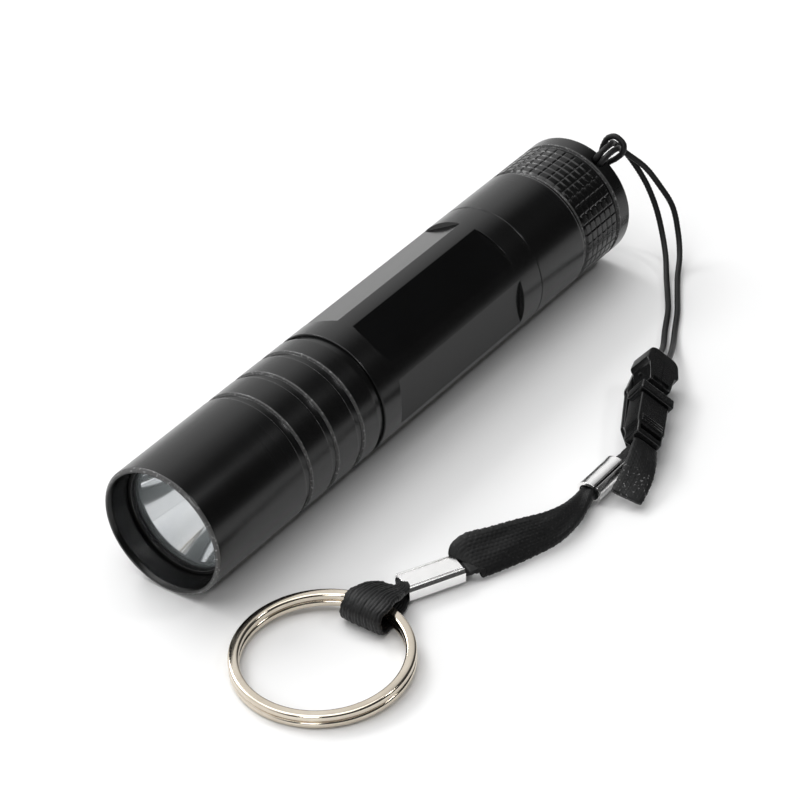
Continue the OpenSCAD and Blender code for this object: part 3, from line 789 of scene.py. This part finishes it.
# %% Finishes for kept nodes
KEPT = {"emitter_spacer": white_plastic, "star_board": star_metal, "pill": brass, "driver_board": board_green,
        "head_oring": seal_rubber, "tail_oring": seal_rubber, "cell_can": cell_steel,
        "cell_wrapper": cell_sleeve, "cell_button": cell_steel, "switch_ring": ring_metal,
        "switch_board": board_green, "switch_housing": clip_plastic, "boot_washer": cell_steel,
        "boot_flange": boot_rubber, "switch_plunger": white_plastic}
for node_name, material in KEPT.items():
    node_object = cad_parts[node_name]
    for slot in node_object.material_slots:
        slot.material = material
print(len(KEPT), "kept nodes dressed")

# %% [markdown]
# ## The cord
# The lanyard starts as a loop of thin braided cord. It is hitched through the cap's hole, over
# the rim and through itself, and both strands run down to the clip. The route is the working
# model's own, in millimetres. Beside the hole its points are given along the axis, outwards and
# sideways, and the second half of the hitch mirrors the first.

# %% Cord route
hitch = [[53.9, 10.1, 0.64], [52.5, 11.0, 0.56], [50.9, 11.3, 0.52], [49.7, 11.0, 0.52],
         [48.95, 10.1, 0.52], [48.9, 8.7, 0.52], [49.2, 7.4, 0.54], [50.1, 6.7, 0.6],
         [51.3, 7.1, 0.7], [52.0, 8.3, 0.9], [52.4, 9.6, 1.4], [52.8, 11.0, 1.6],
         [53.2, 11.9, 1.0], [53.3, 12.1, 0]]
strand_a = [[26.9, -29.9, 4.3], [30.0, -28.3, 3.0], [34.0, -26.4, 1.2], [38.5, -23.9, 0.6],
            [43.0, -21.6, 0.6], [47.0, -19.0, 0.6], [50.5, -16.6, 0.8], [53.4, -14.6, 2.2],
            [55.6, -12.5, 4.6], [56.8, -10.6, 7.8], [57.0, -8.8, 11.2], [56.4, -7.1, 14.4],
            [55.4, -5.5, 17.2]]
strand_b = [[27.4, -31.1, 3.9], [31.3, -29.4, 2.6], [35.4, -27.3, 1.2], [39.4, -25.1, 0.6],
            [43.6, -22.9, 0.6], [47.6, -20.4, 0.6], [51.5, -18.0, 0.8], [54.9, -16.2, 2.1],
            [57.2, -14.4, 4.6], [58.3, -12.6, 8.1], [57.9, -10.3, 11.5], [56.8, -8.5, 14.5],
            [55.1, -6.8, 16.9]]


def beside_hole(place, side):
    """Point beside the lanyard hole from its axial, outward and sideways place."""
    across = side * place[2]
    return [place[0], across * sin(hole_angle) - place[1] * cos(hole_angle),
            body_r + place[1] * sin(hole_angle) + across * cos(hole_angle)]


cord_route = (strand_a + [beside_hole(p, 1) for p in hitch]
              + [beside_hole(p, -1) for p in hitch[-2::-1]] + strand_b[::-1])
print(len(cord_route), "points on the cord's route")

# %% [markdown]
# A curve through all points of a route keeps it where the working model has it. A Bezier curve
# object would do, but the strap needs its width and lean smoothed in the same way, so the
# formula is written once and works on points and on whole rows of numbers.

# %% Smooth lines through points
def between(a, b, c, d, t):
    """Value at share t from b to c on a smooth line through all four."""
    return 0.5 * (2 * b + (c - a) * t + (2 * a - 5 * b + 4 * c - d) * t * t
                  + (3 * b - a - 3 * c + d) * t ** 3)


def curved(points, steps):
    """A smooth line through every point, with that many steps between each two."""
    p = [Vector(q) for q in points]
    p = [2 * p[0] - p[1]] + p + [2 * p[-1] - p[-2]]
    out = []
    for a, b, c, d in zip(p, p[1:], p[2:], p[3:]):
        out += [between(a, b, c, d, i / steps) for i in range(steps)]
    return out + [p[-2]]


def evenly(points, spacing):
    """The same line with points at equal distances."""
    p = np.array([tuple(q) for q in points])
    run = np.concatenate([[0], np.cumsum(np.linalg.norm(np.diff(p, axis=0), axis=1))])
    count = max(2, int(round(run[-1] / spacing)))
    at = np.linspace(0, run[-1], count + 1)
    return [Vector(q) for q in np.stack([np.interp(at, run, p[:, k]) for k in range(p.shape[1])], 1)]


def tangents(points):
    return [(b - a).normalized() for a, b in zip(points[:1] + points[:-1], points[1:] + points[-1:])]

# %% [markdown]
# A sweep carries a section along such a line. Each ring takes its direction from the ring
# before it, so the tube never spins round its own line. The UV map counts once round and in
# millimetres along, which is what the woven finishes read.

# %% Sweep with a UV map
def swept(name, points, section, material, first=(0, 0, 1)):
    """Carries a section along a line without spin; section(i, j) gives two offsets from the line."""
    lines, normal = tangents(points), Vector(first)
    verts, uvs = [], []
    sides, run = section(None, None), 0.0
    for i, (point, line) in enumerate(zip(points, lines)):
        normal = (normal - line * normal.dot(line)).normalized()
        second = line.cross(normal)
        run += (point - points[i - 1]).length if i else 0.0
        for j in range(sides):
            u, v = section(i, j)
            verts.append(point + normal * u + second * v)
            uvs.append((j / sides, run))
    faces = tube_faces(len(points), sides)
    return with_uv(piece(name, verts, faces, material, merge=False), uvs, sides)


def tube_faces(rings, sides):
    faces = [(i * sides + j, i * sides + (j + 1) % sides,
              (i + 1) * sides + (j + 1) % sides, (i + 1) * sides + j)
             for i in range(rings - 1) for j in range(sides)]
    return faces + [tuple(range(sides))[::-1], tuple((rings - 1) * sides + j for j in range(sides))]


def with_uv(obj, uvs, sides):
    """Writes the UV map: how far round, and how many millimetres along."""
    layer = obj.data.uv_layers.new(name="UVMap")
    for polygon in obj.data.polygons:
        held = [obj.data.loops[k].vertex_index for k in polygon.loop_indices]
        wraps = any(h % sides == sides - 1 for h in held) and len(held) == 4
        for loop, vertex in zip(polygon.loop_indices, held):
            u, v = uvs[vertex]
            layer.data[loop].uv = (1.0 if wraps and vertex % sides == 0 else u, v)
    return obj

# %% [markdown]
# The braid is real geometry: the tube's radius rises and falls along two crossing spirals. It is made at the
# cord's true thickness.

# %% Braided cord
cord_d, cord_step, braid_pitch = 0.9, 0.11, 2.2
cord_line = evenly(curved(cord_route, 8), cord_step)
CORD_SIDES = 16


def braid(i, j):
    """Offsets of a braided tube's surface, or its number of sides."""
    if i is None:
        return CORD_SIDES
    angle = 2 * pi * j / CORD_SIDES
    turn = 2 * pi * i * cord_step / braid_pitch
    strand = abs(sin(2 * angle + 2 * turn)) + abs(sin(2 * angle - 2 * turn))
    radius = cord_d / 2 * (0.93 + 0.06 * strand)
    return radius * cos(angle), radius * sin(angle)


cord_piece = swept("lanyard_loop", cord_line, braid, cord_black)
cord_piece.data.shade_smooth()
settle(cord_piece, "tail", "black_cord", "lanyard_cord")

# %% [markdown]
# ## Release clip
# The clip is two mouldings in black plastic. They lean on one edge on the table, so they are
# drawn flat in the clip's own frame and turned into place at the end. Each is built from
# outlines with height, bevelled, and joined: a hood with rounded shoulders, a long back plate
# under it, and a catch with a lip. The frame puts the lower long edge just above the table.

# %% Clip frame and slabs
clip_w, clip_t = 6.4, 4.8
clip_heading, clip_lean = radians(207), radians(40)
clip_at = Vector((26.6, -29.6, (clip_w * sin(clip_lean) + clip_t * cos(clip_lean)) / 2 + 0.05))
clip_frame = (Matrix.Translation(clip_at * MM) @ Matrix.Rotation(clip_heading, 4, "Z")
              @ Matrix.Rotation(-clip_lean, 4, "X"))


def slab(name, outline, low, high, material, bevel, segments=3, limit=30, taper=1.0):
    """An outline with height; taper shrinks its top."""
    n = len(outline)
    middle = Vector((sum(p[0] for p in outline) / n, sum(p[1] for p in outline) / n))
    tops = [middle + (Vector(p) - middle) * taper for p in outline]
    points = [(p[0], p[1], low) for p in outline] + [(p[0], p[1], high) for p in tops]
    faces = [tuple(range(n))[::-1], tuple(range(n, 2 * n))]
    faces += [(i, (i + 1) % n, n + (i + 1) % n, n + i) for i in range(n)]
    return smooth(piece(name, points, faces, material), 40, bevel, limit, segments)


def arc(middle, radius, start, end, steps=8):
    return [(middle[0] + radius * cos(radians(start + (end - start) * i / steps)),
             middle[1] + radius * sin(radians(start + (end - start) * i / steps))) for i in range(steps + 1)]

# %% [markdown]
# Slots and windows are cut out of a slab with an exact Boolean. Finished parts of one moulding
# become one mesh, because they are one piece of plastic and move together.

# %% Cutting and joining
def cut_from(obj, low, high):
    """Cuts a box out of a piece."""
    cutter = piece("cutter", box_points(low, high), BOX_FACES, clip_plastic)
    change = obj.modifiers.new("cut", "BOOLEAN")
    change.object, change.operation, change.solver = cutter, "DIFFERENCE", "EXACT"
    evaluated(obj)
    bpy.data.objects.remove(cutter)
    return obj


def joined(name, parts, frame_matrix):
    """Joins parts drawn in a local frame into one piece in place."""
    build = bmesh.new()
    for part in parts:
        build.from_mesh(part.data)
        bpy.data.objects.remove(part)
    build.transform(frame_matrix)
    mesh = bpy.data.meshes.new(name)
    build.to_mesh(mesh)
    build.free()
    mesh.materials.append(clip_plastic)
    obj = bpy.data.objects.new(name, mesh)
    bpy.context.collection.objects.link(obj)
    return smooth(obj, 32)

# %% [markdown]
# The hood half takes the cord. Its crown and its back plate are separate slabs, because the
# plate is wider and much longer than the crown. The tongue is what the catch slides over.

# %% Hood and back plate
back = -clip_t / 2
hood_outline = (arc((1.7, 1.3), 1.6, 180, 100) + arc((3.7, 2.25), 0.95, 100, 20)
                + [(6.2, 2.3), (8.4, 2.05), (8.4, -2.05), (6.2, -2.3)]
                + arc((3.7, -2.25), 0.95, -20, -100) + arc((1.7, -1.3), 1.6, -100, -180))
hood = slab("hood", hood_outline, back + 1.1, clip_t / 2, clip_plastic, 0.5, 4, 40, 0.93)
cut_from(hood, (2.2, -0.07, clip_t / 2 - 0.16), (9, 0.07, 3))
cut_from(hood, (6.9, -1.5, 1.1), (9, 1.5, 3))
plate_outline = (arc((2, 0), 2, 110, 250, 10) + arc((8, 0), 3, 250, 290, 6) + arc((16, 0), 2.6, 285, 300, 3)
                 + arc((19.3, 0), 1, -60, 60, 8) + arc((16, 0), 2.6, 60, 75, 3) + arc((8, 0), 3, 70, 110, 6))
plate = slab("plate", plate_outline, back, back + 0.9, clip_plastic, 0.22, 3)
tongue = slab("tongue", [(7.4, -1.5), (13.4, -1.5), (13.4, 1.5), (7.4, 1.5)], -0.5, 0.8, clip_plastic, 0.1)
neck = slab("neck", [(0.6, -1.6), (5, -1.6), (5, 1.6), (0.6, 1.6)], back + 0.8, back + 1.3, clip_plastic, 0.1)
bead = smooth(piece("bead", box_points((5.6, -2.7, 0.2), (6.1, 2.7, 0.7)), BOX_FACES, clip_plastic), 40, 0.1)
clip_hood = joined("clip_hood", [hood, plate, tongue, neck, bead], clip_frame)
settle(clip_hood, "tail", "black_plastic", "clip_male")

# %% [markdown]
# The catch half takes the strap. A hollow slab closes over the tongue, a raised lip gives the
# thumb its hold, and three small ribs mark the end where the strap goes in.

# %% Catch
catch_outline = [(9.3, -2.55), (17.6, -2.6), (18.4, -2.35), (20.4, -2.3), (20.4, 2.3), (18.4, 2.35),
                 (17.6, 2.6), (9.3, 2.55)]
catch = slab("catch", catch_outline, -1.3, 1.8, clip_plastic, 0.28, 3, 30, 0.97)
cut_from(catch, (8, -1.65, -0.65), (17.4, 1.65, 0.95))
cut_from(catch, (18.5, -1.9, -3), (19.5, 1.9, 3))
cut_from(catch, (10.9, -4, 1.5), (11.35, 4, 3))
lip = slab("lip", [(9.0, -3.0), (10.9, -3.0), (10.9, 3.0), (9.0, 3.0)], -1.2, 2.3, clip_plastic, 0.3, 4)
cut_from(lip, (8, -1.65, -0.65), (12, 1.65, 0.95))
ribs = [slab(f"rib{i}", [(16.2 + i * 0.55, -1.9), (16.5 + i * 0.55, -1.9), (16.5 + i * 0.55, 1.9),
                         (16.2 + i * 0.55, 1.9)], 1.7, 1.98, clip_plastic, 0.08, 2) for i in range(3)]
clip_catch = joined("clip_catch", [catch, lip] + ribs, clip_frame)
settle(clip_catch, "strap", "black_plastic", "clip_female")

# %% [markdown]
# ## Strap
# The strap is a narrow nylon webbing. It is pressed round inside each crimp and twists onto its
# edge between them. The routes are the working model's own. Each row holds a place, a width, a
# thickness and the lean of the strap's face in degrees.

# %% Strap routes
mid_route = [[7.4, -38.4, 3.7, 2.2, 1, 40], [6.4, -37.7, 2.6, 2.4, 1.4, 15],
             [5.2, -37.1, 1.85, 2.4, 1.6, 0], [1.2, -37.05, 1.75, 2.4, 1.7, 0],
             [-2.8, -37.1, 1.75, 2.4, 1.7, 0], [-5.6, -37.6, 2.0, 2.9, 1.6, 25],
             [-9, -38.1, 2.4, 3.8, 1.3, 42], [-13, -37.6, 2.6, 4.9, 1.1, 48],
             [-17.2, -35.9, 2.8, 5.8, 1, 46], [-20.8, -34.1, 2.8, 6.3, 1, 42],
             [-24.1, -32.2, 2.7, 6.6, 1, 37], [-25, -31.9, 1.9, 4.6, 1.3, 16],
             [-25.7, -31.55, 1.58, 3.5, 1.5, 0], [-29.8, -29.5, 1.55, 3.4, 1.5, 0]]
end_route = [[8.4, -39.5, 4.2, 4.2, 1, 40], [6.5, -40.4, 4.0, 4.6, 1, 38],
             [4.3, -41.2, 3.4, 4.8, 1, 34], [2.0, -41.7, 2.6, 4.8, 1, 26],
             [-0.4, -42.0, 1.8, 4.8, 1, 16]]
crimp_lower_at, crimp_half, crimp_heading = Vector((-29.8, -29.5, 1.55)), 4.3, radians(153)
loop_route = [[0, 1.12], [-2.6, 0.62], [-4.6, 0.44], [-6.6, 0.43], [-7.9, 0.55], [-8.6, 1.1],
              [-8.75, 2.1], [-8.4, 3.3], [-7, 3.95], [-5, 3.85], [-2.4, 2.8], [0, 2.0]]
print(len(mid_route) + len(end_route) + len(loop_route), "rows of strap")

# %% [markdown]
# A flat section is carried along a route. Its faces carry the weave: warp threads side by side
# along the strap, each rising and dipping in turn, with a little slack from thread to thread.
# An image texture would be lighter, but the outline of a real weave is never smooth.

# %% Woven band
FRAYED_ROWS = 40


def ribbon(name, frames, material, warps, pitch, height, dip=0.45, crease=0.0, frayed=False):
    """A woven band through frames of middle, half-width vector and half-thickness vector."""
    verts, uvs, edge, run = [], [], [], 0.0
    across = 8 * warps
    for i, (middle, side, up) in enumerate(frames):
        run += (middle - frames[i - 1][0]).length if i else 0.0
        for j in range(2 * across):
            face = 1 if j < across else -1
            share = (j % across + 0.5) / across * 2 - 1
            x = -share * face
            belly = (1 - abs(x) ** 5) ** 0.5
            warp = floor(warps * (x + 1) / 2)
            thread = abs(sin(pi * warps * (x + 1) / 2))
            over = sin(pi * run / pitch + pi * warp)
            loose = 1 + 0.35 * sin(warp * 2.4 + run * 0.5)
            weave = height * thread ** 0.6 * (1 - dip + dip * over) * loose * min(1, belly * 1.6)
            weave += crease * sin(5 * x + 0.3 * run) * (0.6 + 0.4 * sin(0.7 * run)) * belly * face
            wander = 1 + 0.012 * sin(run * 5.1 + 1.3) + 0.01 * sin(run * 11.7)
            depth = up.length * belly * 0.92 + weave
            verts.append(middle + side * x * wander + up.normalized() * face * depth)
            uvs.append((j / (2 * across), run))
            edge.append(1.0 if frayed and i > len(frames) - FRAYED_ROWS else 0.0)
    band = piece(name, verts, tube_faces(len(frames), 2 * across), material, merge=False)
    obj = with_uv(band, uvs, 2 * across)
    obj.data.attributes.new("edge", "FLOAT", "POINT").data.foreach_set("value", np.array(edge, np.float32))
    obj.data.shade_smooth()
    return obj

# %% [markdown]
# The band needs a frame at each row: its middle, half its width and half its thickness. They
# come from the route's rows after these are smoothed.

# %% Frames along a route
def route_frames(route, spacing):
    rows = [Vector(q) for q in curved_rows(route, spacing)]
    middles = [Vector(q[:3]) for q in rows]
    out = []
    for row, line in zip(rows, tangents(middles)):
        flat = line.cross(Vector((0, 0, 1))).normalized()
        lift = flat.cross(line)
        side = flat * cos(radians(row[5])) + lift * sin(radians(row[5]))
        out.append((Vector(row[:3]), side * row[3] / 2, side.cross(line) * row[4] / 2))
    return out


def curved_rows(route, spacing):
    """Smooths a whole table of rows, so width, thickness and lean change smoothly too."""
    p = np.array([2 * np.array(route[0]) - np.array(route[1])] + [np.array(q) for q in route]
                 + [2 * np.array(route[-1]) - np.array(route[-2])])
    rows = []
    for a, b, c, d in zip(p, p[1:], p[2:], p[3:]):
        steps = max(2, int(np.linalg.norm((c - b)[:3]) / spacing))
        rows += [between(a, b, c, d, i / steps) for i in range(steps)]
    return rows + [p[-2]]

# %% [markdown]
# The same band makes both lengths of strap. The one between the crimps is creased where it
# twists, and the cut end is frayed, which the finish reads from the edge attribute.

# %% Strap pieces
webbing_warps, webbing_pitch, thread_height, row_spacing = 13, 0.36, 0.04, 0.12
strap = ribbon("strap_mid", route_frames(mid_route, row_spacing), strap_black, webbing_warps,
               webbing_pitch, thread_height, crease=0.09)
settle(strap, "strap", "black_webbing", "webbing_mid")
tail_end = ribbon("strap_end", route_frames(end_route, row_spacing), strap_black, webbing_warps,
                  webbing_pitch, thread_height, crease=0.05, frayed=True)
settle(tail_end, "strap", "black_webbing", "webbing_end")

# %% [markdown]
# The strap's end goes round the split ring and back into the lower crimp. Bunched on the round
# wire, its threads stand out as fine cords, so on this band they are taller and rise and dip
# less, and the section is fuller.

# %% Loop round the ring
heading = Vector((cos(crimp_heading), sin(crimp_heading), 0))
loop_start = crimp_lower_at + heading * (crimp_half + 0.02)
loop_line = evenly(curved([(loop_start.x + a, loop_start.y - 0.04 * a, h) for a, h in loop_route], 8), 0.1)
loop_half, neck_half, widening, easing_rows = 3.4, 1.7, 0.28, 26
loop_frames = []
for i, (point, line) in enumerate(zip(loop_line, tangents(loop_line))):
    share = min(1.0, min(i, len(loop_line) - 1 - i) / easing_rows)
    cross = Vector((0, 1, 0)).lerp(Vector((sin(crimp_heading), -cos(crimp_heading), 0)) * -1, 1 - share)
    along = (point.x - loop_start.x)
    width = min(loop_half, neck_half - widening * along) * (1 + 0.04 * share * sin(2.1 * along + point.z))
    side = cross.normalized() * width
    bunch = 0.22 * min(1.0, max(0.0, (point.z - 1.0) / 2)) * share
    up = line.cross(side).normalized() * (0.3 + bunch)
    loop_frames.append((point + up.normalized() * bunch, side, up))
loop_pitch, loop_thread_height = 0.55, 0.14
wrap = ribbon("strap_loop", loop_frames, strap_black, webbing_warps, loop_pitch, loop_thread_height,
              dip=0.12)
settle(wrap, "strap", "black_webbing", "webbing_loop")

# %% [markdown]
# ## Crimps
# A crimp is a strip of thin bright metal pressed round the strap. The upper one is rolled into a
# sleeve with a seam along it. The lower one is folded flat like a box, and its top flap lies
# between two raised edges.

# %% Upper crimp
def sleeve(name, outline, length, place, heading_angle, bevel):
    """Carries a closed outline along X with slightly pinched ends."""
    stations = [-0.5, -0.46, -0.3, -0.1, 0.1, 0.3, 0.46, 0.5]
    pinch = [1.03, 1.0, 0.985, 1.0, 0.985, 1.0, 1.0, 1.03]
    n = len(outline)
    points = [(s * length, y * k, z * k) for s, k in zip(stations, pinch) for y, z in outline]
    faces = tube_faces(len(stations), n)
    obj = piece(name, points, faces, crimp_bright)
    obj.data.transform(Matrix.Translation(place * MM) @ Matrix.Rotation(heading_angle, 4, "Z"))
    return smooth(obj, 40, bevel, 35, 2)


def rolled(width, height, wall, gap):
    """Outline of a rolled sleeve that is open along its seam."""
    flat = (width - height) / 2
    out, inner = [], []
    for i in range(49):
        angle = radians(gap + (360 - 2 * gap) * i / 48 + 62)
        shift = flat * max(-1, min(1, cos(angle) * 1.6))
        out.append((shift + height / 2 * cos(angle), height / 2 * sin(angle)))
        inner.append((shift + (height / 2 - wall) * cos(angle), (height / 2 - wall) * sin(angle)))
    return out + inner[::-1]


crimp_upper_at = Vector((1.3, -37.05, 1.75))
upper = sleeve("crimp_sleeve", rolled(3.95, 3.1, 0.5, 4), 7.4, crimp_upper_at, radians(180), 0.08)
settle(upper, "strap", "crimp_metal", "crimp_upper")

# %% [markdown]
# The box's outline is drawn for one half and mirrored. Its outer and inner outlines have
# different numbers of corners, so the ends between them are filled with triangles.

# %% Lower crimp
box_w, box_h, wall = 4.4, 2.4, 0.35
fold = [(-box_w / 2, -0.7), (-box_w / 2 + 0.5, -box_h / 2), (box_w / 2 - 0.5, -box_h / 2), (box_w / 2, -0.7),
        (box_w / 2, 0.75), (box_w / 2 - 0.4, box_h / 2), (box_w / 2 - 0.62, box_h / 2),
        (box_w / 2 - 0.64, box_h / 2 - 0.28), (box_w / 2 - 0.86, box_h / 2 - 0.28),
        (box_w / 2 - 0.9, box_h / 2 - 0.02)]
fold += [(-y, z) for y, z in fold[:3:-1]]
inside = [(-box_w / 2 + wall, -box_h / 2 + wall), (-box_w / 2 + wall, box_h / 2 - wall),
          (box_w / 2 - wall, box_h / 2 - wall), (box_w / 2 - wall, -box_h / 2 + wall)]


def box_crimp():
    """The folded box is a tube with an inner wall, closed between the two at its ends."""
    length, n, m = 2 * crimp_half, len(fold), len(inside)
    build = bmesh.new()
    loops = []
    for x in (-length / 2, length / 2):
        loops.append([[build.verts.new((x * MM, y * MM, z * MM)) for y, z in ring]
                      for ring in (fold, inside)])
    for k, count in ((0, n), (1, m)):
        for i in range(count):
            j = (i + 1) % count
            build.faces.new((loops[0][k][i], loops[0][k][j], loops[1][k][j], loops[1][k][i]))
    for end in loops:
        rim = [build.edges.get((ring[i], ring[(i + 1) % len(ring)])) or build.edges.new(
            (ring[i], ring[(i + 1) % len(ring)])) for ring in end for i in range(len(ring))]
        bmesh.ops.triangle_fill(build, use_beauty=True, edges=rim)
    bmesh.ops.recalc_face_normals(build, faces=build.faces)
    build.transform(Matrix.Translation(crimp_lower_at * MM) @ Matrix.Rotation(crimp_heading, 4, "Z"))
    mesh = bpy.data.meshes.new("crimp_box")
    build.to_mesh(mesh)
    build.free()
    mesh.materials.append(crimp_bright)
    obj = bpy.data.objects.new("crimp_box", mesh)
    bpy.context.collection.objects.link(obj)
    return smooth(obj, 40, 0.06, 35, 2)


settle(box_crimp(), "strap", "crimp_metal", "crimp_lower")

# %% [markdown]
# ## Split ring
# One flat wire makes two turns. Where the first turn ends it steps up onto the second, which
# leaves the small jog that a key slides in by. The section is a rectangle with round corners,
# carried round by angle instead of by a curve object, so both turns stay exactly concentric.

# %% Split ring
ring_d, wire_w, turn_h, turn_gap, jog, ring_start = 25.0, 1.5, 1.05, 0.08, 16.0, radians(7)
ring_h = 2 * turn_h + turn_gap
ring_tilt = asin(0.96 / (ring_d - 2))
ring_at = Vector((-51, -27.2, ring_h / 2 * cos(ring_tilt) + ring_d / 2 * sin(ring_tilt)))
corner_r, ring_steps = 0.38, 440
wire = []
for cx, cz, turn_from in ((wire_w / 2, turn_h / 2, 0), (-wire_w / 2, turn_h / 2, 90),
                          (-wire_w / 2, -turn_h / 2, 180), (wire_w / 2, -turn_h / 2, 270)):
    ox, oz = cx - corner_r * np.sign(cx), cz - corner_r * np.sign(cz)
    wire += [(ox + corner_r * cos(radians(turn_from + a)), oz + corner_r * sin(radians(turn_from + a)))
             for a in (0, 22, 45, 68, 90)]
ring_points, ring_uvs = [], []
for i in range(ring_steps + 1):
    angle = (720 - jog) * i / ring_steps
    rise = (turn_h + turn_gap) * min(1, max(0, (angle - 360 + jog) / jog)) - ring_h / 2 + turn_h / 2
    for j, (out_by, up_by) in enumerate(wire):
        radius = ring_d / 2 - wire_w / 2 + out_by
        ring_points.append((radius * cos(radians(angle)), radius * sin(radians(angle)), rise + up_by))
        ring_uvs.append((j / len(wire), radians(angle) * ring_d / 2))
ring = piece("key_ring_wire", ring_points, tube_faces(ring_steps + 1, len(wire)), nickel, merge=False)
with_uv(ring, ring_uvs, len(wire))
ring.data.transform(Matrix.Translation(ring_at * MM) @ Matrix.Rotation(-ring_tilt, 4, "Y")
                    @ Matrix.Rotation(ring_start, 4, "Z"))
settle(smooth(ring, 40), "key_ring", "nickel", "split_ring")

# %% [markdown]
# ## Soft pieces
# The cord is the one long flexible piece. The strap pieces are held by their crimps every few widths, so they
# keep their shape.

# %% [markdown]
# ## Studio
# A white floor, one broad lamp overhead, one behind, a small one past the tail and a weak one in
# front. The sky is bright behind the light and dark on the viewer's side, because black metal
# shows only what it reflects: the dark side keeps its front black, the bright side draws its
# upper outline.

# %% Floor
floor_mesh = bpy.data.meshes.new("floor")
floor_mesh.from_pydata([(-6, -6, 0), (6, -6, 0), (6, 6, 0), (-6, 6, 0)], [], [(0, 1, 2, 3)])
floor_finish = Finish("paper_floor", Roughness=0.6)
floor_finish.feed("Base Color", floor_finish.blend(
    floor_finish.noise(floor_finish.place(), 30.0), grey(0.88), grey(0.9)))
floor_mesh.materials.append(floor_finish.material)
floor_object = bpy.data.objects.new("floor", floor_mesh)
bpy.context.collection.objects.link(floor_object)

# %% [markdown]
# Every lamp is an area lamp with a place, a point it aims at, a size and a power. A small one
# gives a narrow highlight along the barrel, a large one a soft shadow on the floor.

# %% Lamps
def lamp(name, place, aim, size, watts):
    data = bpy.data.lights.new(name, "AREA")
    data.shape, data.size, data.size_y, data.energy = "RECTANGLE", size[0], size[1], watts
    obj = bpy.data.objects.new(name, data)
    obj.location = place
    obj.rotation_euler = (Vector(aim) - Vector(place)).to_track_quat("-Z", "Y").to_euler()
    bpy.context.collection.objects.link(obj)


lamp("overhead", (-0.1, 0.1, 1.0), (-0.02, -0.01, 0), (1.0, 1.0), 6)
lamp("key", (0.1, 0.6, 0.6), (0, 0, 0), (0.4, 0.25), 2.5)
lamp("rim", (0.35, -0.5, 0.75), (0, 0, 0), (0.12, 0.12), 0.9)
lamp("front", (-0.7, -0.25, 0.45), (-0.02, 0, 0), (0.25, 0.25), 1.2)
print(len(bpy.data.lights), "lamps")

# %% [markdown]
# The sky is a ramp across the scene, from nearly black on the viewer's side to white behind.
# The Standard view keeps the floor white and the blacks deep.

# %% Sky
sky = bpy.data.worlds.new("sky")
sky.use_nodes = True
air = Patch(sky.node_tree)
direction = air.node("ShaderNodeTexCoord", output="Generated")
aside = air.node("ShaderNodeSeparateXYZ", values={0: direction}, output="Y")
level = air.node("ShaderNodeValToRGB", {"stops": [(0.0, 0.05), (0.45, 1.0)]}, {0: aside})
backdrop = sky.node_tree.nodes["Background"]
sky.node_tree.links.new(level.socket, backdrop.inputs["Color"])
backdrop.inputs["Strength"].default_value = 0.95
bpy.context.scene.world = sky
bpy.context.scene.view_settings.view_transform = "Standard"
bpy.context.scene.view_settings.look = "None"
